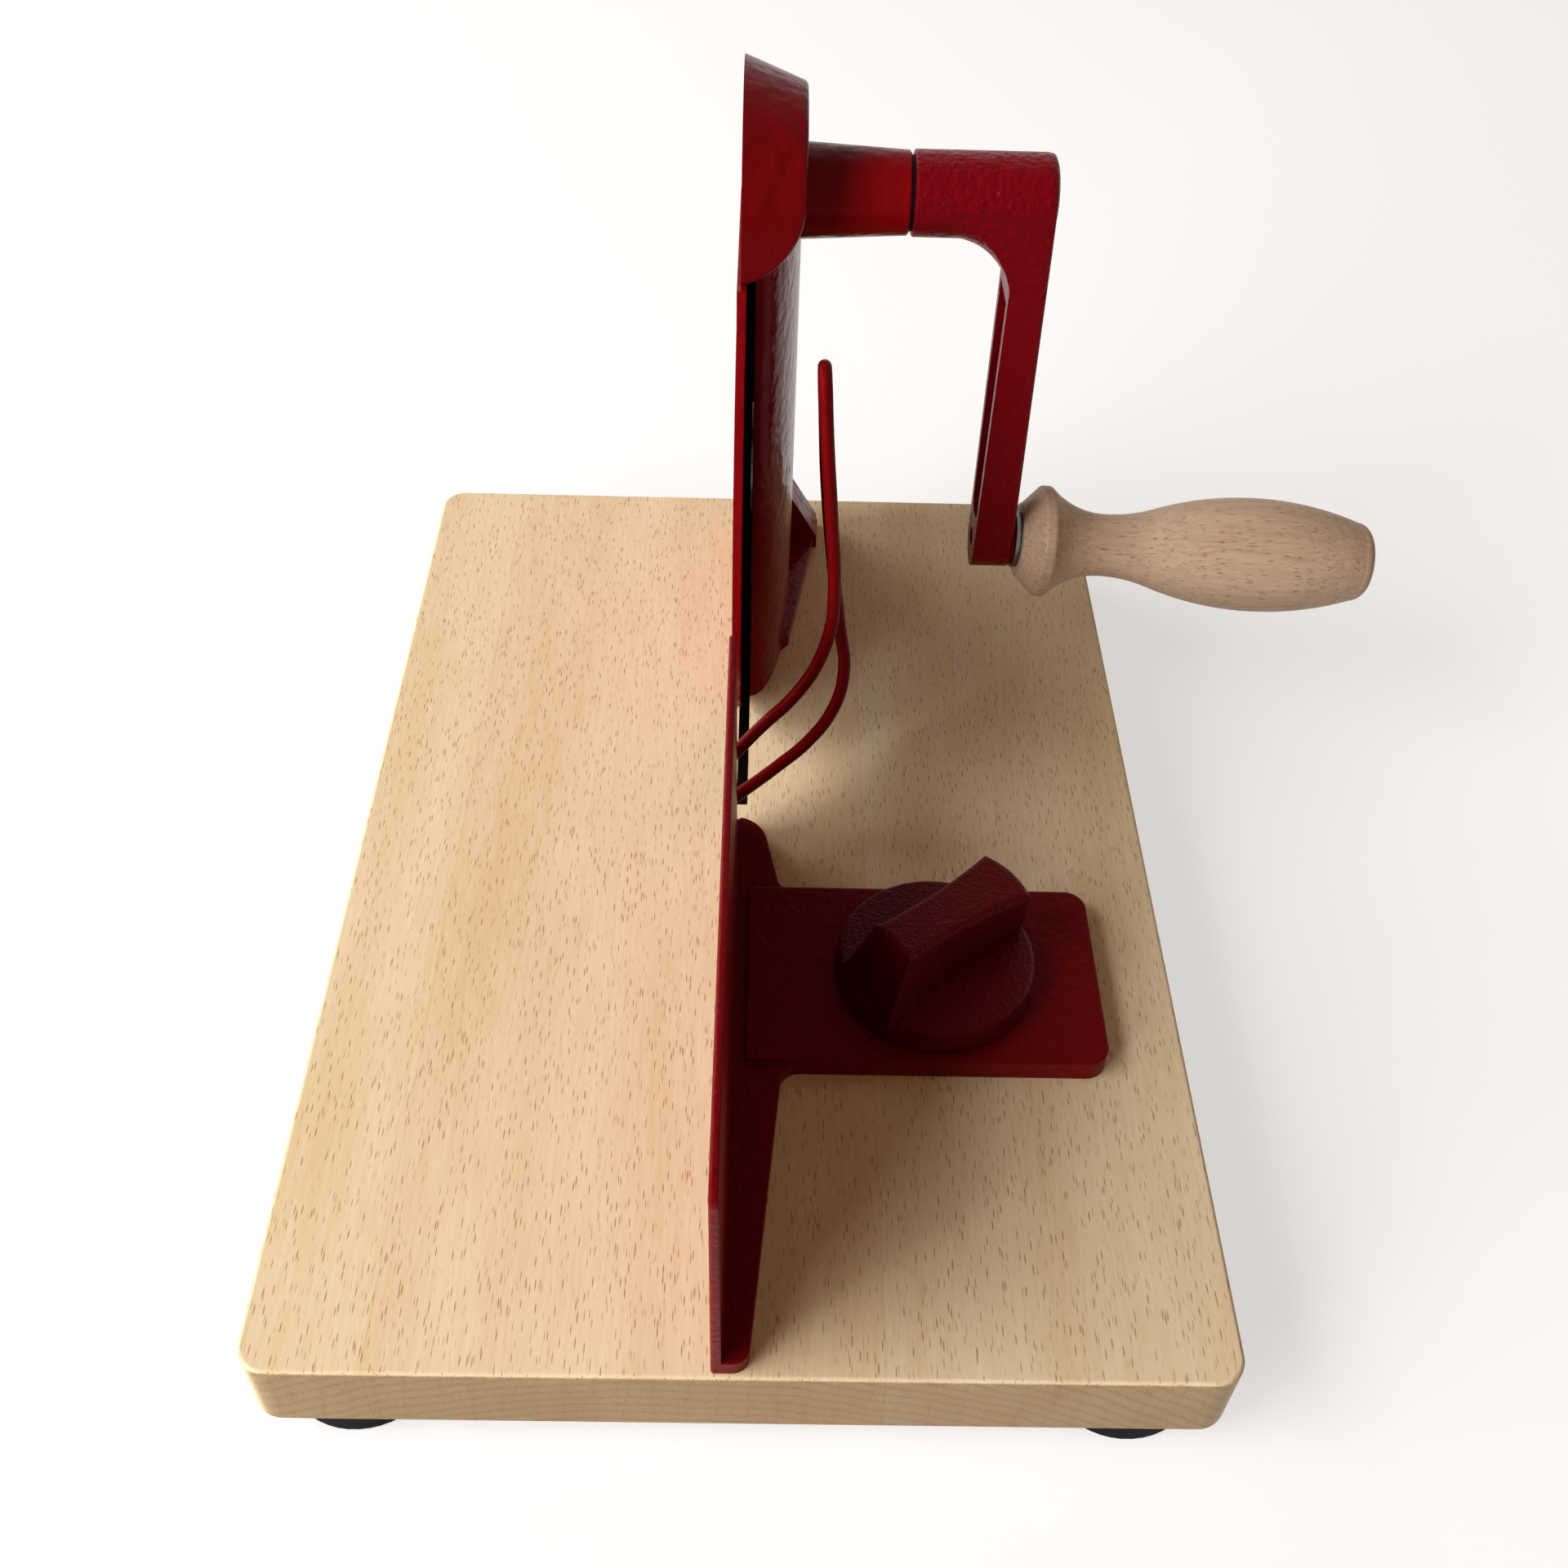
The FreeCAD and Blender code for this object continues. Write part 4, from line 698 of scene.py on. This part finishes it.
@dataclass
class Finishes:
    """Every finish of the object, made once."""

    gloss_red: Material = field(init=False)
    cast_red: Material = field(init=False)
    plate_red: Material = field(init=False)
    wrinkle_red: Material = field(init=False)
    zinc: Material = field(init=False)
    dull_zinc: Material = field(init=False)
    gear: Material = field(init=False)
    blade: Material = field(init=False)
    bronze: Material = field(init=False)
    plastic: Material = field(init=False)
    rubber: Material = field(init=False)
    board: Material = field(init=False)
    handle: Material = field(init=False)

    def __post_init__(self) -> None:
        """Builds the materials."""
        self.paints()
        self.metals()
        self.blacks()
        self.woods()

    def paints(self) -> None:
        """Makes the four reds, from the glossiest to the most wrinkled."""
        self.gloss_red = Paint("gloss_red", colour=(0.2, 0.0016, 0.0035), roughness=0.22,
                               coat=0.03, texture=Texture.SMOOTH, edge=0.0006,
                               shine=0.1).build()
        self.cast_red = Paint("cast_red", colour=(0.16, 0.0016, 0.005), roughness=0.34,
                              coat=0.0, texture=Texture.CAST, edge=0.001).build()
        self.plate_red = Paint("plate_red", colour=(0.14, 0.0018, 0.003), roughness=0.36,
                               coat=0.0, texture=Texture.PLATE, edge=0.001,
                               shine=0.12).build()
        self.wrinkle_red = Paint("wrinkle_red", colour=(0.075, 0.001, 0.0014), roughness=0.36,
                                 coat=0.0, texture=Texture.WRINKLE, edge=0.0006,
                                 shine=0.14).build()

    def metals(self) -> None:
        """Makes the bare metals."""
        self.zinc = Metal("zinc_steel", colour=(0.55, 0.55, 0.56), roughness=0.34).build()
        self.gear = Metal("gear_steel", colour=(0.34, 0.34, 0.35), roughness=0.4).build()
        self.bronze = Metal("bronze", colour=(0.55, 0.36, 0.15), roughness=0.36).build()
        self.dull_zinc = Metal("dull_zinc", colour=(0.16, 0.15, 0.15), roughness=0.4).build()

    def blacks(self) -> None:
        """Makes the blade's black, partly its coating and partly painted shade, the plastic and
        the rubber.
        """
        # The blade's near black with no reflection at all is partly its coating and partly
        # painted shade of the narrow gap it turns in.
        self.blade = Black("blade_steel", colour=(0.004, 0.004, 0.0045), roughness=0.5,
                           shine=0.0).build()
        self.plastic = Black("black_plastic", colour=(0.008, 0.008, 0.008), roughness=0.6,
                             shine=0.1).build()
        self.rubber = Black("rubber", colour=(0.006, 0.0055, 0.0065), roughness=0.7,
                            shine=0.08).build()

    def woods(self) -> None:
        """Makes the beech of the board and of the handle."""
        lamellas = (Lamella(joint=-0.1296, tint=(0.995, 0.965, 0.975)),
                    Lamella(joint=-0.0061, tint=(1.02, 1.07, 1.12)))
        # The board's last trait is painted shade down in the blade's groove.
        self.board = Beech("board_beech", light=(0.875, 0.72, 0.475), dark=(0.77, 0.58, 0.335),
                           grain=Grain.ALONG_Y, fleck_scale=1650,
                           traits=(*lamellas, CutEnds(), PaintedGrooveShade())).build()
        self.handle = Beech("handle_beech", light=(0.67, 0.49, 0.35), dark=(0.45, 0.3, 0.195),
                            grain=Grain.ALONG_X, fleck_scale=1700).build()


# Sub-assemblies


def dress(material: Material, *names: str) -> None:
    """Gives CAD nodes one material.

    Args:
        material: The material.
        names: Names of the nodes.
    """
    for name in names:
        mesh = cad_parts[name].data
        mesh.materials.clear()
        mesh.materials.append(material)
        LOG.info("dressed %s in %s", name, material.name)


@dataclass
class Board:
    """Beech board and its feet."""

    finishes: Finishes

    def build(self) -> None:
        """Dresses the board, its feet and their screws."""
        dress(self.finishes.board, "base_board")
        dress(self.finishes.rubber, "rubber_feet")
        dress(self.finishes.zinc, "feet_screws")


@dataclass
class CastFrame:
    """Red casting that carries the blade and the crank, with its covers."""

    finishes: Finishes

    def build(self) -> None:
        """Dresses the frame, its covers and its bolts."""
        dress(self.finishes.gloss_red, "main_frame", "blade_cover")
        dress(self.finishes.zinc, "frame_bolts", "frame_washers", "gear_cover",
              "gear_cover_screws", "blade_cover_screws", "blade_axle", "idler_axles",
              "blade_retaining_washer", "blade_retaining_screw")
        dress(self.finishes.plastic, "thrust_washer")
        dress(self.finishes.bronze, "crank_bush_inner", "crank_bush_outer")


@dataclass
class BladeDrive:
    """Round blade, its hub and the gears that turn it."""

    finishes: Finishes

    def build(self) -> None:
        """Dresses the blade, its hub and the gears."""
        # The blade's black is partly its coating and partly painted shade.
        dress(self.finishes.blade, "slicing_blade")
        dress(self.finishes.zinc, "blade_hub", "blade_screws")
        dress(self.finishes.gear, "blade_gear", "lower_idler_gear", "upper_idler_gear",
              "crank_gear")
        dress(self.finishes.bronze, "blade_bush", "lower_idler_bush", "upper_idler_bush")


@dataclass
class Crank:
    """Crank arm, its shaft and the turned handle."""

    finishes: Finishes

    def build(self) -> None:
        """Dresses the crank and its handle."""
        dress(self.finishes.cast_red, "crank_arm")
        dress(self.finishes.zinc, "crank_shaft", "crank_grub_screw", "handle_sleeve")
        dress(self.finishes.dull_zinc, "handle_bolt", "handle_washer")
        dress(self.finishes.handle, "wooden_handle")


@dataclass
class StopPlate:
    """Sliding stop plate with its slice guard, pins and clamp."""

    finishes: Finishes

    def build(self) -> None:
        """Dresses the plate and its clamp."""
        dress(self.finishes.plate_red, "stop_plate")
        dress(self.finishes.wrinkle_red, "thickness_knob")
        dress(self.finishes.zinc, "guide_pins", "clamp_bolt", "clamp_bolt_washer",
              "knob_washer")
        dress(self.finishes.bronze, "knob_insert")


# Studio


@dataclass(frozen=True)
class Camera:
    """Camera at the photograph's viewing angle.

    Args:
        focal: Focal length, in pixels.
        width: Width of the photograph that the focal length is given for, in pixels.
        sensor: Width of the sensor, in millimetres.
        pitch: Angle below the horizon, in degrees.
        yaw: Turn towards +X, in degrees.
        roll: Roll of the frame, in degrees.
        eye: Place of the camera, in metres.
        near: Distance from which the camera sees, in metres.
    """

    focal: float = 2017.0
    width: int = 1920
    sensor: float = 36
    pitch: float = 45.44
    yaw: float = 1.39
    roll: float = -2.09
    eye: Place = (-0.0396, -0.3463, 0.4055)
    near: float = 0.01

    def build(self) -> None:
        """Makes the camera and looks through it."""
        data = bpy.data.cameras.new("camera")
        data.lens = self.focal / self.width * self.sensor
        data.sensor_width = self.sensor
        data.sensor_fit = "HORIZONTAL"
        data.clip_start = self.near
        camera = bpy.data.objects.new("camera", data)
        camera.matrix_world = Matrix.Translation(self.eye) @ self.turn()
        bpy.context.scene.collection.objects.link(camera)
        bpy.context.scene.camera = camera

    def turn(self) -> Matrix:
        """Works out how the camera is turned.

        Returns:
            The camera's own axes, right, up and back, as a matrix.
        """
        pitch, yaw, roll = (math.radians(angle) for angle in (self.pitch, self.yaw, self.roll))
        ahead = Vector((math.sin(yaw) * math.cos(pitch), math.cos(yaw) * math.cos(pitch),
                        -math.sin(pitch)))
        level = Vector((math.cos(yaw), -math.sin(yaw), 0.0))
        down = ahead.cross(level)
        right = level * math.cos(roll) + down * math.sin(roll)
        below = down * math.cos(roll) - level * math.sin(roll)
        return Matrix((right, -below, -ahead)).transposed().to_4x4()


@dataclass(frozen=True)
class Lamp:
    """Soft square lamp that faces the object.

    Args:
        name: Name of the lamp.
        azimuth: Direction it stands in, from +X towards +Y, in degrees.
        elevation: Its height over the horizon, in degrees.
        side: Length of its side, in metres.
        level: Its light on a surface that faces it, where 1 shows a colour as written.
        distance: Distance from the place it faces, in metres.
        target: The place it faces, in metres.
    """

    name: str
    azimuth: float
    elevation: float
    side: float
    level: float
    distance: float = 2.6
    target: Place = (-0.02, 0.0, 0.03)

    def build(self) -> None:
        """Makes the lamp."""
        turn, rise = math.radians(self.azimuth), math.radians(self.elevation)
        way = Vector((math.cos(rise) * math.cos(turn), math.cos(rise) * math.sin(turn),
                      math.sin(rise)))
        data = bpy.data.lights.new(self.name, "AREA")
        data.size = self.side
        data.energy = self.level * (math.pi * self.distance) ** 2
        lamp = bpy.data.objects.new(self.name, data)
        lamp.rotation_euler = (-way).to_track_quat("-Z", "Y").to_euler()
        lamp.location = Vector(self.target) + self.distance * way
        bpy.context.scene.collection.objects.link(lamp)


@dataclass(frozen=True)
class Floor:
    """Floor that is white where it is seen and keeps the object's shadow pale.

    Args:
        side: Length of its side, in metres.
        grey: Its plain colour.
        roughness: Its roughness.
        glow: Light that it adds where it is seen.
    """

    side: float = 12
    grey: Colour = (0.5, 0.5, 0.5)
    roughness: float = 0.9
    glow: float = 0.6

    def build(self) -> None:
        """Makes the floor at height 0."""
        bpy.ops.mesh.primitive_plane_add(size=self.side, location=(0, 0, 0))
        plane = bpy.context.object
        plane.name = "floor"
        material, tree, shader = new_material("floor_pale")
        shader.inputs["Base Color"].default_value = (*self.grey, 1.0)
        shader.inputs["Roughness"].default_value = self.roughness
        shader.inputs["Specular IOR Level"].default_value = 0.0
        shader.inputs["Emission Color"].default_value = (1, 1, 1, 1)
        link(tree, weigh(tree, seen(tree), self.glow), shader.inputs["Emission Strength"])
        plane.data.materials.append(material)


@dataclass(frozen=True)
class Sky:
    """World of soft warm light, plain white where it is seen.

    Args:
        warm: Colour of its light.
        strength: Strength of its light.
    """

    warm: Colour = (1, 0.62, 0.3)
    strength: float = 0.17

    def build(self) -> None:
        """Makes the world."""
        world = bpy.data.worlds.new("studio")
        bpy.context.scene.world = world
        world.use_nodes = True
        tree = world.node_tree
        soft = next(node for node in tree.nodes if node.type == "BACKGROUND")
        soft.inputs["Color"].default_value = (*self.warm, 1)
        soft.inputs["Strength"].default_value = self.strength
        white = add(tree, "Background")
        white.inputs["Color"].default_value = (1, 1, 1, 1)
        white.inputs["Strength"].default_value = 1.0
        mix = add(tree, "MixShader")
        link(tree, seen(tree), mix.inputs["Fac"])
        link(tree, soft.outputs[0], mix.inputs[1])
        link(tree, white.outputs[0], mix.inputs[2])
        output = next(node for node in tree.nodes if node.type == "OUTPUT_WORLD")
        link(tree, mix.outputs[0], output.inputs["Surface"])


@dataclass(frozen=True)
class Studio:
    """Camera, lamps, floor and background."""

    camera: Camera = Camera()
    lamps: tuple[Lamp, ...] = (
        Lamp("window", azimuth=199, elevation=34, side=1.7, level=0.97),
        Lamp("low_front", azimuth=226, elevation=13, side=1.0, level=0.62),
        Lamp("low_rear", azimuth=146, elevation=20, side=1.3, level=0.4))
    floor: Floor = Floor()
    sky: Sky = Sky()

    def build(self) -> None:
        """Makes the camera, the lamps, the floor and the world."""
        for part in (self.camera, *self.lamps, self.floor, self.sky):
            part.build()


def main() -> None:
    """Builds the studio and dresses every sub-assembly in order."""
    logging.basicConfig(level=logging.INFO)
    bpy.context.scene.view_settings.view_transform = "Standard"
    Studio().build()
    finishes = Finishes()
    for part in (Board, CastFrame, BladeDrive, Crank, StopPlate):
        part(finishes).build()
        LOG.info("built %s", part.__name__)


if __name__ == "__main__":
    main()
